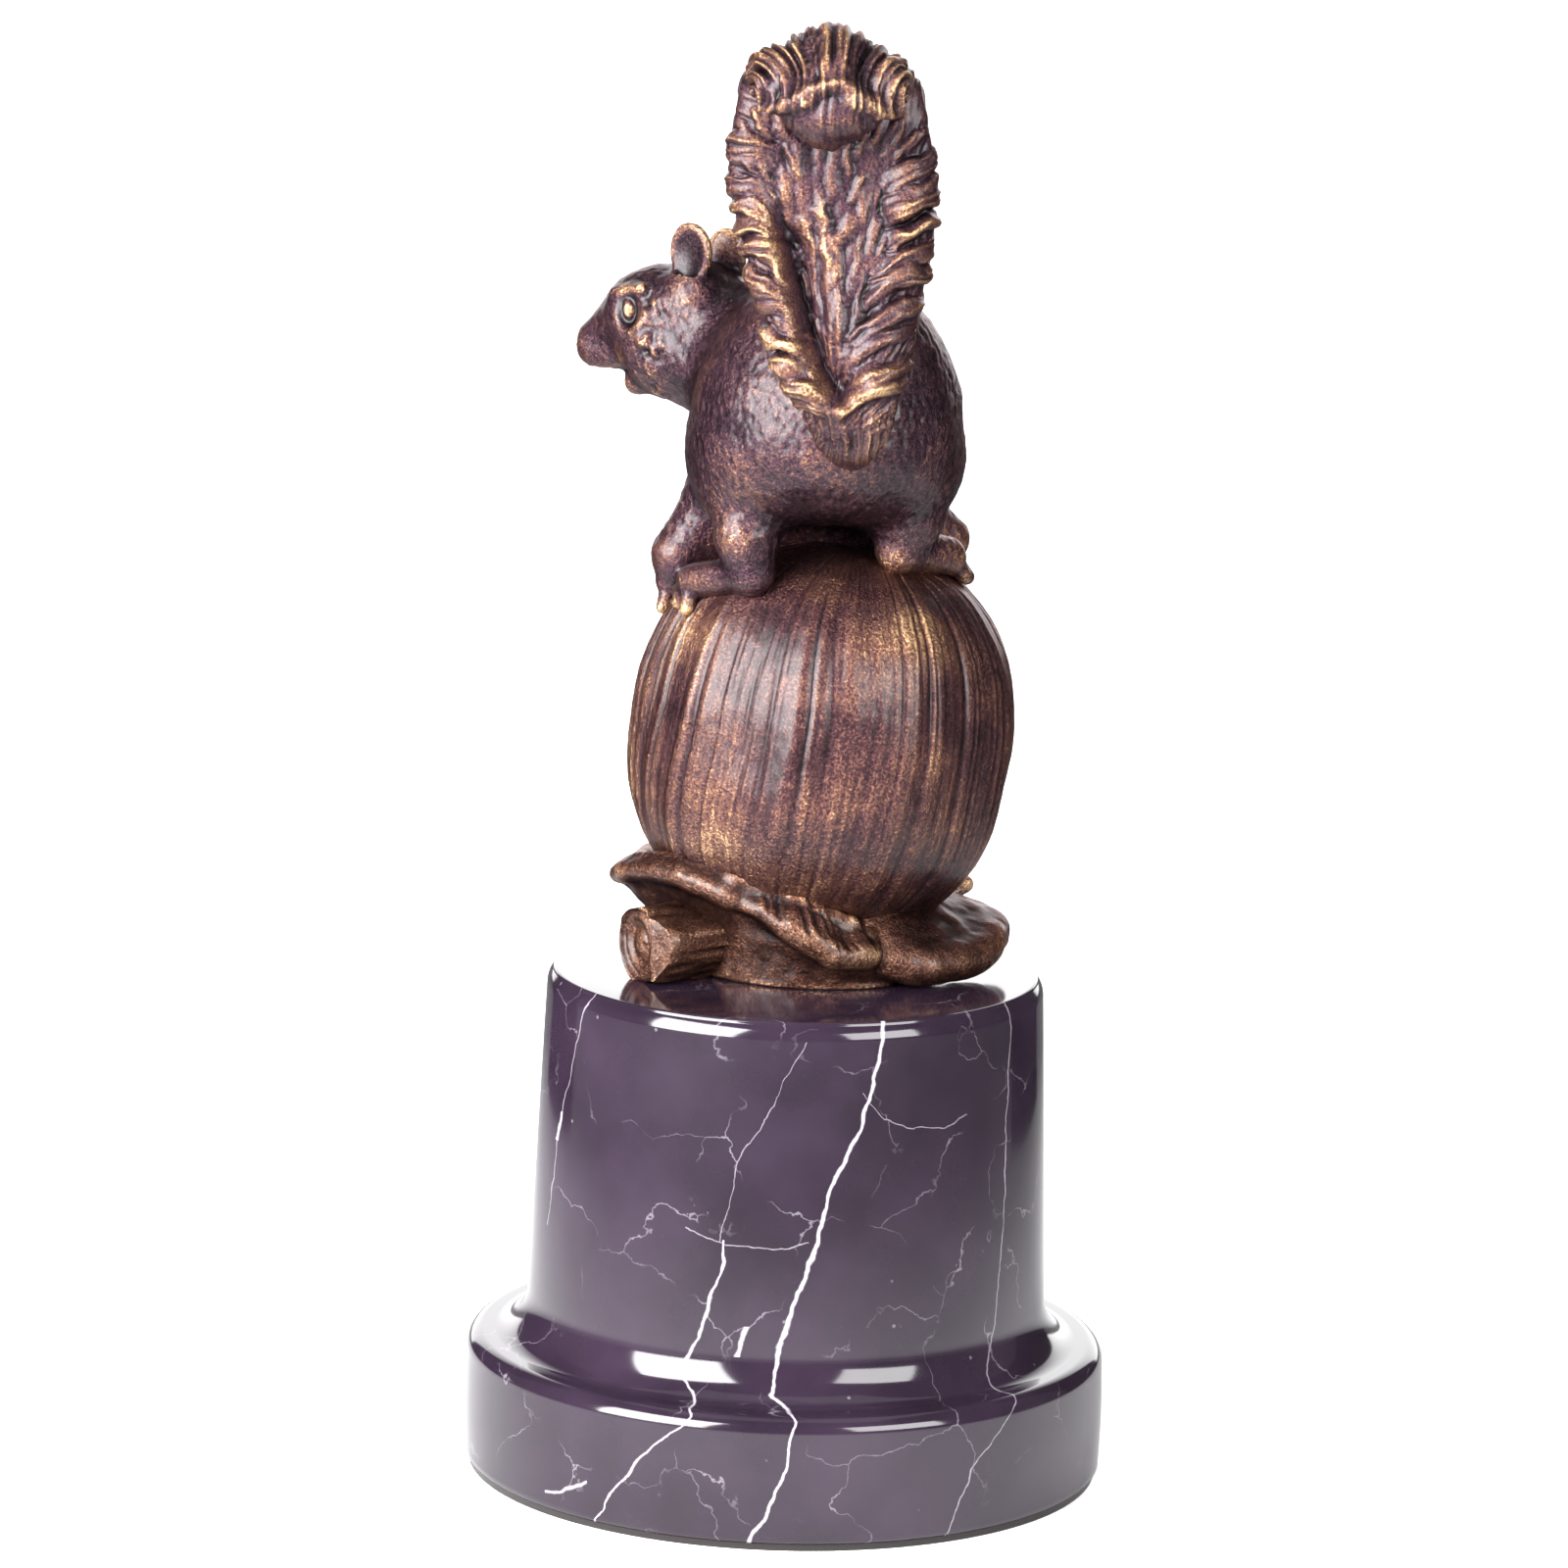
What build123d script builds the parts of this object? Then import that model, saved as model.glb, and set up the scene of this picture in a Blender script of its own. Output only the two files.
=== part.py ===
"""Bronze squirrel crouching on a hazelnut, bolted to a turned marble socle.

Millimetres, Z up. The origin is the middle of the felt's underside, on the
socle's axis. The squirrel's back looks along -Y and its head is turned to -X.
"""
import os
from math import asin, cos, degrees, radians, sin

from build123d import *

os.makedirs("parts", exist_ok=True)

# Marble socle and felt
felt_thickness = 1.0
felt_margin = 0.8
plinth_diameter = 97.0
plinth_height = 19.2
plinth_edge_radius = 2.2
plinth_foot_chamfer = 0.6
plinth_ledge = 9.3
drum_taper = 1.9
drum_cove_radius = 5.0
drum_arris = 0.4
socle_height = 75.7

# Fixing through the socle
stud_diameter = 6.0
stud_hole_diameter = 8.0
counterbore_diameter = 20.0
counterbore_depth = 12.0
washer_diameter = 18.0
washer_bore = 6.4
washer_thickness = 1.6
hex_across_flats = 10.0
hex_height = 5.0
stud_overhang = 2.0
bush_diameter = 14.0
bush_height = 16.0
thread_depth = 13.0

# Hazelnut
nut_x = 3.0
nut_y = 6.0
nut_lift = 5.6
nut_radius = 28.5
nut_half_height = 29.3
nut_roundness = 2.5
nut_tilt = 8.0
nut_wall = 3.2

# Husk and twig
husk_foot_radius = 13.5
husk_rim_radius = 22.8
husk_rim_height = 11.0
husk_bulge = 1.8
twig_radius = 5.2
twig_length = 17.0
twig_bearing = 216.0

# Squirrel
rump_radius = 20.3
rump_rise = 24.0
rump_drop = 14.0
body_wall = 4.0
belly_gap = 4.0
haunch_radius = 9.8
haunch_half_length = 14.0
chest_radius = 13.2
skull_radius = 8.1
skull_half_length = 9.5
head_yaw = 25.0
ear_radius = 4.0
ear_thickness = 1.5
tail_thickness = 9.6
curl_radius = 9.4
curl_half_width = 13.0
dowel_radius = 2.0
paw_pin_radius = 0.9
paw_pin_depth = 2.2
paw_pin_rise = 2.0

# Levels and carriers
socle_top = felt_thickness + socle_height
nut_centre = Vector(nut_x, nut_y, socle_top + nut_lift + nut_half_height)
perch = nut_centre + Vector(0, 0, nut_half_height)
rump = perch + Vector(-0.9, -7.0, belly_gap + rump_drop)
skull = rump + Vector(-24.6, 15.0, 13.4)
marble_face = Plane.XY.offset(socle_top)

nut_axis = Vector(sin(radians(nut_tilt)), 0, cos(radians(nut_tilt)))
nut_side = Vector(cos(radians(nut_tilt)), 0, -sin(radians(nut_tilt)))
head_front = Vector(-cos(radians(head_yaw)), sin(radians(head_yaw)), -0.1).normalized()
head_left = Vector(-sin(radians(head_yaw)), -cos(radians(head_yaw)), 0)


def nut_point(bearing, polar, height=0.0):
    """Point over the nut's surface, by bearing round its axis and angle from its top."""
    ring = sin(radians(polar))
    up = cos(radians(polar))
    size = (abs(ring / nut_radius) ** nut_roundness + abs(up / nut_half_height) ** nut_roundness)
    reach = size ** (-1 / nut_roundness) + height
    flat = nut_side * cos(radians(bearing)) + Vector(0, 1, 0) * sin(radians(bearing))
    return nut_centre + (flat * ring + nut_axis * up) * reach


def round_the_nut(bearing, reach, rise):
    """Point by bearing and reach from the nut's upright axis and rise over the marble."""
    turn = radians(bearing)
    return Vector(nut_x + reach * cos(turn), nut_y + reach * sin(turn), socle_top + rise)


def profile_plane(origin, direction):
    """Plane through origin whose local y runs along direction."""
    lengthwise = direction.normalized()
    side = Plane(origin=origin, z_dir=lengthwise).x_dir
    return Plane(origin=origin, x_dir=side, z_dir=side.cross(lengthwise))


def two_half_turns(half, axis, mode=Mode.ADD):
    """Turn a half profile all the way round and leave a seam on each side."""
    revolve(half, axis=axis, revolution_arc=180, clean=False, mode=mode)
    revolve(half, axis=axis, revolution_arc=-180, clean=False, mode=mode)


def join(form):
    """Fuse a form to the piece being made and leave its faces as they are."""
    add(form, clean=False)


def trim(form):
    """Cut a form out of the piece being made and leave its faces as they are."""
    add(form, clean=False, mode=Mode.SUBTRACT)


def egg(centre, direction, radius, front, back):
    """Round body about direction, front long on one side of centre and back on the other."""
    outline = [(0, -back)]
    for step in range(1, 16):
        turn = radians(-90 + 11.25 * step)
        outline.append((radius * cos(turn), (front if turn > 0 else back) * sin(turn)))
    outline.append((0, front))
    with BuildPart() as solid:
        with BuildSketch(profile_plane(centre, direction)) as half:
            with BuildLine():
                Spline(outline, tangents=((1, 0), (-1, 0)))
                Line(outline[-1], outline[0])
            make_face()
        two_half_turns(half.sketch, Axis(centre, direction))
    return solid.part


def limb(start, start_radius, end, end_radius):
    """Two balls joined by the cone that touches both."""
    direction = end - start
    span = direction.length
    lean = degrees(asin((start_radius - end_radius) / span))
    across = cos(radians(lean))
    along = sin(radians(lean))
    with BuildPart() as solid:
        with BuildSketch(profile_plane(start, direction)):
            with BuildLine():
                CenterArc((0, 0), start_radius, -90, 90 + lean)
                Line(
                    (start_radius * across, start_radius * along),
                    (end_radius * across, span + end_radius * along),
                )
                CenterArc((0, span), end_radius, lean, 90 - lean)
                Line((0, span + end_radius), (0, -start_radius))
            make_face()
        revolve(axis=Axis(start, direction))
    return solid.part


def rod(start, end, radius):
    """Plain round bar from start to end."""
    direction = end - start
    with BuildPart() as solid:
        with BuildSketch(Plane(origin=start, z_dir=direction)):
            Circle(radius)
        extrude(amount=direction.length)
    return solid.part


def tongue(stations, widths, depths):
    """Leaf lofted through ovals along stations, flat side to the nut."""
    with BuildPart() as solid:
        for index, here in enumerate(stations):
            before = stations[max(index - 1, 0)]
            after = stations[min(index + 1, len(stations) - 1)]
            heading = (after - before).normalized()
            outward = (here - nut_centre).normalized()
            with BuildSketch(Plane(origin=here, x_dir=heading.cross(outward), z_dir=heading)):
                Ellipse(widths[index], depths[index])
        loft()
    return solid.part


# Outer forms that neighbours are cut to
profile = []
for step in range(25):
    angle = radians(-90 + 7.5 * step)
    ring = max(cos(angle), 0) ** (2 / nut_roundness)
    height = abs(sin(angle)) ** (2 / nut_roundness) * (1 if angle > 0 else -1)
    profile.append((nut_radius * ring, nut_half_height * height))
profile[0] = (0, -nut_half_height)
profile[-1] = (0, nut_half_height)

with BuildPart() as nut_form:
    with BuildSketch(profile_plane(nut_centre, nut_axis)) as nut_half:
        with BuildLine():
            Spline(profile, tangents=((1, 0), (-1, 0)))
            Line(profile[-1], profile[0])
        make_face()
    two_half_turns(nut_half.sketch, Axis(nut_centre, nut_axis))

rump_form = egg(rump, Vector(0, 0, 1), rump_radius, rump_rise, rump_drop)
haunch_left_form = egg(
    rump + Vector(-10.4, -0.5, -5.6), Vector(-0.2, 1, -0.1),
    haunch_radius, haunch_half_length, haunch_half_length,
)
haunch_right_form = egg(
    rump + Vector(10.5, 2.6, -5.6), Vector(0.2, 1, -0.1),
    haunch_radius, haunch_half_length, haunch_half_length,
)
chest_form = egg(
    rump + Vector(-4.6, 14.0, 1.6), Vector(-0.1, 0.15, 1),
    chest_radius, chest_radius * 1.1, chest_radius * 0.9,
)

# Felt under the socle
with BuildPart() as felt_pad:
    with BuildSketch():
        Circle(plinth_diameter / 2 - felt_margin)
    extrude(amount=felt_thickness)
felt_pad.part.label = "felt_pad"
export_step(felt_pad.part, "parts/felt_pad.step")

# Marble socle, one turned piece drilled from below
plinth_top = felt_thickness + plinth_height
drum_foot_diameter = plinth_diameter - 2 * plinth_ledge
drum_top_diameter = drum_foot_diameter - 2 * drum_taper
with BuildPart() as marble_socle:
    with BuildSketch(Plane.XZ) as socle_profile:
        with BuildLine():
            Polyline(
                (0, felt_thickness),
                (plinth_diameter / 2, felt_thickness),
                (plinth_diameter / 2, plinth_top),
                (drum_foot_diameter / 2, plinth_top),
                (drum_top_diameter / 2, socle_top),
                (0, socle_top),
                close=True,
            )
        make_face()
        outer = socle_profile.vertices().filter_by(lambda corner: corner.X > 1)
        chamfer(outer.sort_by(Axis.Y)[0], length=plinth_foot_chamfer)
        edge = socle_profile.vertices().sort_by_distance((plinth_diameter / 2, plinth_top, 0))[0]
        fillet(edge, radius=plinth_edge_radius)
        inner = socle_profile.vertices().sort_by_distance((drum_foot_diameter / 2, plinth_top, 0))[0]
        fillet(inner, radius=drum_cove_radius)
        rim = socle_profile.vertices().sort_by_distance((drum_top_diameter / 2, socle_top, 0))[0]
        chamfer(rim, length=drum_arris)
    revolve(axis=Axis.Z)
    with Locations(Plane(origin=(0, 0, felt_thickness), z_dir=(0, 0, -1))):
        CounterBoreHole(
            radius=stud_hole_diameter / 2,
            counter_bore_radius=counterbore_diameter / 2,
            counter_bore_depth=counterbore_depth,
        )
marble_socle.part.label = "marble_socle"
export_step(marble_socle.part, "parts/marble_socle.step")

# Stud, washer and hexagon nut that pull the bronze down on the marble
seat_level = felt_thickness + counterbore_depth
hex_level = seat_level - washer_thickness - hex_height
with BuildPart() as fixing_stud:
    with BuildSketch(Plane.XY.offset(hex_level - stud_overhang)):
        Circle(stud_diameter / 2)
    extrude(amount=socle_top + thread_depth - hex_level + stud_overhang)
    chamfer(fixing_stud.edges().filter_by(GeomType.CIRCLE), length=0.6)
fixing_stud.part.label = "fixing_stud"
export_step(fixing_stud.part, "parts/fixing_stud.step")

with BuildPart() as fixing_washer:
    with BuildSketch(Plane.XY.offset(seat_level - washer_thickness)):
        Circle(washer_diameter / 2)
        Circle(washer_bore / 2, mode=Mode.SUBTRACT)
    extrude(amount=washer_thickness)
fixing_washer.part.label = "fixing_washer"
export_step(fixing_washer.part, "parts/fixing_washer.step")

with BuildPart() as fixing_nut:
    with BuildSketch(Plane.XY.offset(hex_level)):
        RegularPolygon(radius=hex_across_flats / 2, side_count=6, major_radius=False)
        Circle(stud_diameter / 2, mode=Mode.SUBTRACT)
    extrude(amount=hex_height)
fixing_nut.part.label = "fixing_nut"
export_step(fixing_nut.part, "parts/fixing_nut.step")

# Threaded bush brazed into the bronze
bush_form = rod(Vector(0, 0, socle_top), Vector(0, 0, socle_top + bush_height), bush_diameter / 2)
with BuildPart() as anchor_bush:
    join(bush_form)
    with BuildSketch(marble_face):
        Circle(stud_diameter / 2)
    extrude(amount=thread_depth, mode=Mode.SUBTRACT)
anchor_bush.part.label = "anchor_bush"
export_step(anchor_bush.part, "parts/anchor_bush.step")

# Seats of the four feet on the nut
heel_left_seat = nut_point(-132.8, 43.5)
heel_right_seat = nut_point(-22.6, 18.5)
paw_left_seat = nut_point(177.0, 54.5)
paw_right_seat = nut_point(52.0, 40.0)
seats = [heel_left_seat, heel_right_seat, paw_left_seat, paw_right_seat]
pin_forms = []
for seat in seats:
    outward = (seat - nut_centre).normalized()
    pin_forms.append(rod(seat - outward * paw_pin_depth, seat + outward * paw_pin_rise, paw_pin_radius))

# Hollow cast nut
with BuildPart() as nut_shell:
    join(nut_form.part)
    with BuildSketch(profile_plane(nut_centre, nut_axis)) as core_half:
        with BuildLine():
            shrink_ring = (nut_radius - nut_wall) / nut_radius
            shrink_rise = (nut_half_height - nut_wall) / nut_half_height
            core = [(ring * shrink_ring, rise * shrink_rise) for ring, rise in profile]
            Spline(core, tangents=((1, 0), (-1, 0)))
            Line(core[-1], core[0])
        make_face()
    two_half_turns(core_half.sketch, Axis(nut_centre, nut_axis), Mode.SUBTRACT)
    trim(bush_form)
    for form in pin_forms:
        trim(form)
nut_shell.part.label = "nut_shell"
export_step(nut_shell.part, "parts/nut_shell.step")

# Cup of the husk under the nut
with BuildPart() as husk_form:
    with BuildSketch(Plane(origin=(nut_x, nut_y, socle_top), x_dir=(1, 0, 0), z_dir=(0, -1, 0))):
        with BuildLine():
            foot = (husk_foot_radius, 0)
            lip = (husk_rim_radius, husk_rim_height)
            middle_ring = (husk_foot_radius + husk_rim_radius) / 2 + husk_bulge
            Line((0, 0), foot)
            ThreePointArc(foot, (middle_ring, husk_rim_height / 2 - husk_bulge), lip)
            Line(lip, (0, husk_rim_height))
            Line((0, husk_rim_height), (0, 0))
        make_face()
    revolve(axis=Axis((nut_x, nut_y, socle_top), (0, 0, 1)))

with BuildPart() as husk_cup:
    join(husk_form.part)
    trim(nut_form.part)
    trim(bush_form)
husk_cup.part.label = "husk_cup"
export_step(husk_cup.part, "parts/husk_cup.step")

# Leaves of the husk, from the left round the front to the back
leaf_left_form = tongue(
    [round_the_nut(232, 16.5, 7.5), round_the_nut(212, 24.0, 11.0), round_the_nut(190, 31.6, 14.6)],
    [6.5, 7.5, 2.6], [3.6, 3.4, 1.6],
)
with BuildPart() as husk_leaf_left:
    join(leaf_left_form)
    split(bisect_by=marble_face, keep=Keep.TOP)
    trim(nut_form.part)
    trim(husk_form.part)
husk_leaf_left.part.label = "husk_leaf_left"
export_step(husk_leaf_left.part, "parts/husk_leaf_left.step")

leaf_front_form = tongue(
    [round_the_nut(240, 19.5, 9.5), round_the_nut(264, 19.5, 7.5), round_the_nut(290, 20.5, 4.2)],
    [5.0, 6.0, 3.2], [3.6, 3.6, 2.4],
)
with BuildPart() as husk_leaf_front:
    join(leaf_front_form)
    split(bisect_by=marble_face, keep=Keep.TOP)
    trim(nut_form.part)
    trim(husk_form.part)
    trim(leaf_left_form)
husk_leaf_front.part.label = "husk_leaf_front"
export_step(husk_leaf_front.part, "parts/husk_leaf_front.step")

leaf_right_form = tongue(
    [round_the_nut(312, 16.0, 5.0), round_the_nut(333, 22.5, 5.4), round_the_nut(352, 28.6, 6.4)],
    [5.6, 6.6, 3.0], [3.6, 3.8, 2.0],
)
with BuildPart() as husk_leaf_right:
    join(leaf_right_form)
    split(bisect_by=marble_face, keep=Keep.TOP)
    trim(nut_form.part)
    trim(husk_form.part)
    trim(leaf_front_form)
husk_leaf_right.part.label = "husk_leaf_right"
export_step(husk_leaf_right.part, "parts/husk_leaf_right.step")

leaf_back_form = tongue(
    [round_the_nut(30, 17.0, 6.0), round_the_nut(55, 23.0, 9.0), round_the_nut(78, 28.5, 11.5)],
    [6.0, 7.0, 2.6], [3.6, 3.4, 1.6],
)
with BuildPart() as husk_leaf_back:
    join(leaf_back_form)
    split(bisect_by=marble_face, keep=Keep.TOP)
    trim(nut_form.part)
    trim(husk_form.part)
husk_leaf_back.part.label = "husk_leaf_back"
export_step(husk_leaf_back.part, "parts/husk_leaf_back.step")

leaf_far_form = tongue(
    [round_the_nut(108, 17.0, 7.0), round_the_nut(132, 23.0, 9.5), round_the_nut(156, 29.0, 12.5)],
    [6.0, 7.0, 2.6], [3.6, 3.4, 1.6],
)
with BuildPart() as husk_leaf_far:
    join(leaf_far_form)
    split(bisect_by=marble_face, keep=Keep.TOP)
    trim(nut_form.part)
    trim(husk_form.part)
husk_leaf_far.part.label = "husk_leaf_far"
export_step(husk_leaf_far.part, "parts/husk_leaf_far.step")

# Cut twig that lies on the marble
twig_end = round_the_nut(twig_bearing, husk_foot_radius + twig_length, twig_radius)
twig_root = round_the_nut(twig_bearing, husk_foot_radius - 3.0, twig_radius)
with BuildPart() as twig_stub:
    join(rod(twig_root, twig_end, twig_radius))
    trim(nut_form.part)
    trim(husk_form.part)
    trim(leaf_left_form)
    trim(leaf_front_form)
twig_stub.part.label = "twig_stub"
export_step(twig_stub.part, "parts/twig_stub.step")

# Dowels that locate head and tail on the body
neck_root = rump + Vector(-10.1, 10.0, 9.2)
neck_top = skull + Vector(1.5, -0.5, -2.7)
neck_run = (neck_top - neck_root).normalized()
neck_dowel_form = rod(neck_root - neck_run * 0.4, neck_root + neck_run * 9.5, dowel_radius)
with BuildPart() as neck_dowel:
    join(neck_dowel_form)
neck_dowel.part.label = "neck_dowel"
export_step(neck_dowel.part, "parts/neck_dowel.step")

tail_seat = rump + Vector(2.9, -rump_radius * 0.94, 7.2)
tail_dowel_form = rod(tail_seat + Vector(0, 3.0, 0), tail_seat + Vector(0, -3.6, 0), dowel_radius)
with BuildPart() as tail_dowel:
    join(tail_dowel_form)
tail_dowel.part.label = "tail_dowel"
export_step(tail_dowel.part, "parts/tail_dowel.step")

# Pins between the feet and the nut
with BuildPart() as paw_pins:
    for form in pin_forms:
        join(form)
paw_pins.part.label = "paw_pins"
export_step(paw_pins.part, "parts/paw_pins.step")

# Hollow cast body with both haunches and the chest
with BuildPart() as squirrel_body:
    join(rump_form)
    join(haunch_left_form)
    join(haunch_right_form)
    join(chest_form)
    trim(
        egg(
            rump, Vector(0, 0, 1),
            rump_radius - body_wall, rump_rise - body_wall, rump_drop - body_wall,
        ),
    )
    trim(neck_dowel_form)
    trim(tail_dowel_form)
squirrel_body.part.label = "squirrel_body"
export_step(squirrel_body.part, "parts/squirrel_body.step")

body_forms = [rump_form, haunch_left_form, haunch_right_form, chest_form]

# Hind legs
hock_left = rump + Vector(-11.3, -8.4, -15.2)
heel_left = nut_point(-132.8, 43.5, 2.6)
ball_left = nut_point(-158.0, 51.5, 2.0)
with BuildPart() as leg_hind_left:
    join(limb(rump + Vector(-10.6, -3.6, -7.4), 6.8, hock_left, 4.4))
    join(limb(hock_left, 4.4, heel_left, 3.0))
    join(limb(heel_left, 3.0, ball_left, 2.8))
    for bearing, polar in ((-174, 54), (-169, 57), (-162, 59), (-155, 59)):
        join(limb(ball_left, 1.7, nut_point(bearing, polar, 0.8), 1.2))
    trim(nut_form.part)
    for form in body_forms:
        trim(form)
    for form in pin_forms:
        trim(form)
leg_hind_left.part.label = "leg_hind_left"
export_step(leg_hind_left.part, "parts/leg_hind_left.step")

hock_right = rump + Vector(12.7, 0.6, -13.2)
heel_right = nut_point(-22.6, 18.5, 2.8)
ball_right = nut_point(6.0, 25.5, 2.6)
with BuildPart() as leg_hind_right:
    join(limb(rump + Vector(10.8, 0.0, -8.0), 7.2, hock_right, 5.2))
    join(limb(hock_right, 5.2, heel_right, 3.2))
    join(limb(heel_right, 3.2, ball_right, 3.0))
    for bearing, polar in ((12, 33), (18, 34), (24, 34), (30, 33)):
        join(limb(ball_right, 1.8, nut_point(bearing, polar, 1.0), 1.3))
    trim(nut_form.part)
    for form in body_forms:
        trim(form)
    for form in pin_forms:
        trim(form)
leg_hind_right.part.label = "leg_hind_right"
export_step(leg_hind_right.part, "parts/leg_hind_right.step")

# Head with its neck
neck_form = limb(neck_top, 9.3, neck_root, 11.8)
muzzle_root = skull + head_front * 2.6 + Vector(0, 0, -2.0)
muzzle_tip = skull + head_front * 11.0 + Vector(0, 0, -3.2)
jaw_root = skull + head_front * -0.6 + Vector(0, 0, -5.7)
jaw_tip = skull + head_front * 5.2 + Vector(0, 0, -6.9)
with BuildPart() as head_form:
    join(egg(skull, head_front, skull_radius, skull_half_length, skull_half_length))
    join(limb(muzzle_root, 6.5, muzzle_tip, 3.1))
    join(limb(jaw_root, 5.8, jaw_tip, 2.6))
    join(neck_form)

with BuildPart() as squirrel_head:
    join(head_form.part)
    for form in body_forms:
        trim(form)
    trim(neck_dowel_form)
squirrel_head.part.label = "squirrel_head"
export_step(squirrel_head.part, "parts/squirrel_head.step")

# Ears
ear_hollow = ear_radius * 0.72
ear_lift = ear_thickness * 1.3
ear_left_centre = skull + head_front * -5.6 + head_left * 4.8 + Vector(0, 0, 10.2)
ear_left_facing = (head_left * 0.85 + head_front * 0.35 + Vector(0, 0, 0.1)).normalized()
with BuildPart() as ear_left:
    join(egg(ear_left_centre, ear_left_facing, ear_radius, ear_thickness, ear_thickness))
    join(limb(ear_left_centre + Vector(0, 0, -2.6), 1.5, ear_left_centre + Vector(0, 0, -6.2), 2.2))
    trim(egg(ear_left_centre + ear_left_facing * ear_lift, ear_left_facing, ear_hollow, ear_thickness, ear_thickness))
    trim(head_form.part)
ear_left.part.label = "ear_left"
export_step(ear_left.part, "parts/ear_left.step")

ear_right_centre = skull + head_front * -5.6 + head_left * -4.8 + Vector(0, 0, 10.2)
ear_right_facing = (head_left * -0.85 + head_front * 0.35 + Vector(0, 0, 0.1)).normalized()
with BuildPart() as ear_right:
    join(egg(ear_right_centre, ear_right_facing, ear_radius, ear_thickness, ear_thickness))
    join(limb(ear_right_centre + Vector(0, 0, -2.6), 1.5, ear_right_centre + Vector(0, 0, -6.2), 2.2))
    trim(egg(ear_right_centre + ear_right_facing * ear_lift, ear_right_facing, ear_hollow, ear_thickness, ear_thickness))
    trim(head_form.part)
ear_right.part.label = "ear_right"
export_step(ear_right.part, "parts/ear_right.step")

# Forelegs
elbow_left = rump + Vector(-16.0, 9.6, -11.4)
wrist_left = nut_point(177.0, 50.5, 5.6)
paw_left = nut_point(177.0, 54.5, 1.8)
leg_fore_left_forms = [
    limb(rump + Vector(-12.0, 13.6, -2.0), 6.6, elbow_left, 4.7),
    limb(elbow_left, 4.7, wrist_left, 3.0),
    limb(wrist_left, 3.0, paw_left, 2.3),
]
with BuildPart() as leg_fore_left:
    for form in leg_fore_left_forms:
        join(form)
    for bearing, polar in ((171, 60), (176, 61), (181, 60)):
        join(limb(paw_left, 1.5, nut_point(bearing, polar, 0.6), 1.0))
    trim(nut_form.part)
    for form in body_forms:
        trim(form)
    trim(leg_hind_left.part)
    trim(head_form.part)
    for form in pin_forms:
        trim(form)
leg_fore_left.part.label = "leg_fore_left"
export_step(leg_fore_left.part, "parts/leg_fore_left.step")

elbow_right = rump + Vector(8.8, 19.0, -10.6)
wrist_right = nut_point(52.0, 36.0, 5.6)
paw_right = nut_point(52.0, 40.0, 1.8)
leg_fore_right_forms = [
    limb(rump + Vector(3.6, 17.4, -2.0), 6.6, elbow_right, 4.7),
    limb(elbow_right, 4.7, wrist_right, 3.0),
    limb(wrist_right, 3.0, paw_right, 2.3),
]
with BuildPart() as leg_fore_right:
    for form in leg_fore_right_forms:
        join(form)
    for bearing, polar in ((46, 46), (52, 47), (58, 46)):
        join(limb(paw_right, 1.5, nut_point(bearing, polar, 0.6), 1.0))
    trim(nut_form.part)
    for form in body_forms:
        trim(form)
    for form in pin_forms:
        trim(form)
leg_fore_right.part.label = "leg_fore_right"
export_step(leg_fore_right.part, "parts/leg_fore_right.step")

# Tail plume up the back, then the rolled tip
tail_stations = [
    (3.5, -15.5, -1.0, 3.8, 0.6),
    (2.8, -19.6, 3.4, 6.0, 0.85),
    (3.2, -20.6, 9.4, 7.6, 0.95),
    (2.3, -20.0, 16.4, 10.2, 1.0),
    (1.4, -19.0, 23.4, 11.8, 1.0),
    (0.9, -18.0, 30.4, 13.9, 1.0),
    (-0.5, -17.5, 37.4, 15.1, 1.0),
    (-0.6, -18.0, 42.4, 15.0, 0.98),
    (-0.6, -19.6, 47.4, 13.4, 0.92),
]
spine = [rump + Vector(x, y, z) for x, y, z, width, depth in tail_stations]
with BuildPart() as tail_form:
    for index, here in enumerate(spine):
        heading = spine[min(index + 1, len(spine) - 1)] - spine[max(index - 1, 0)]
        width = tail_stations[index][3]
        depth = tail_stations[index][4] * tail_thickness / 2
        with BuildSketch(Plane(origin=here, x_dir=(1, 0, 0), z_dir=Vector(0, heading.Y, heading.Z))):
            Ellipse(width, depth)
    loft()

with BuildPart() as tail_plume:
    join(tail_form.part)
    for form in body_forms:
        trim(form)
    trim(tail_dowel_form)
tail_plume.part.label = "tail_plume"
export_step(tail_plume.part, "parts/tail_plume.step")

curl_centre = rump + Vector(-0.9, -26.5, 51.8)
with BuildPart() as tail_curl:
    join(egg(curl_centre, Vector(1, 0, 0), curl_radius, curl_half_width, curl_half_width))
    trim(tail_form.part)
tail_curl.part.label = "tail_curl"
export_step(tail_curl.part, "parts/tail_curl.step")
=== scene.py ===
"""Looks of the bronze squirrel on its marble socle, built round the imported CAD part."""

import math
from types import SimpleNamespace

import bpy
import numpy as np
from bpy.props import FloatProperty, IntProperty, PointerProperty, StringProperty
from mathutils import Matrix


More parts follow.
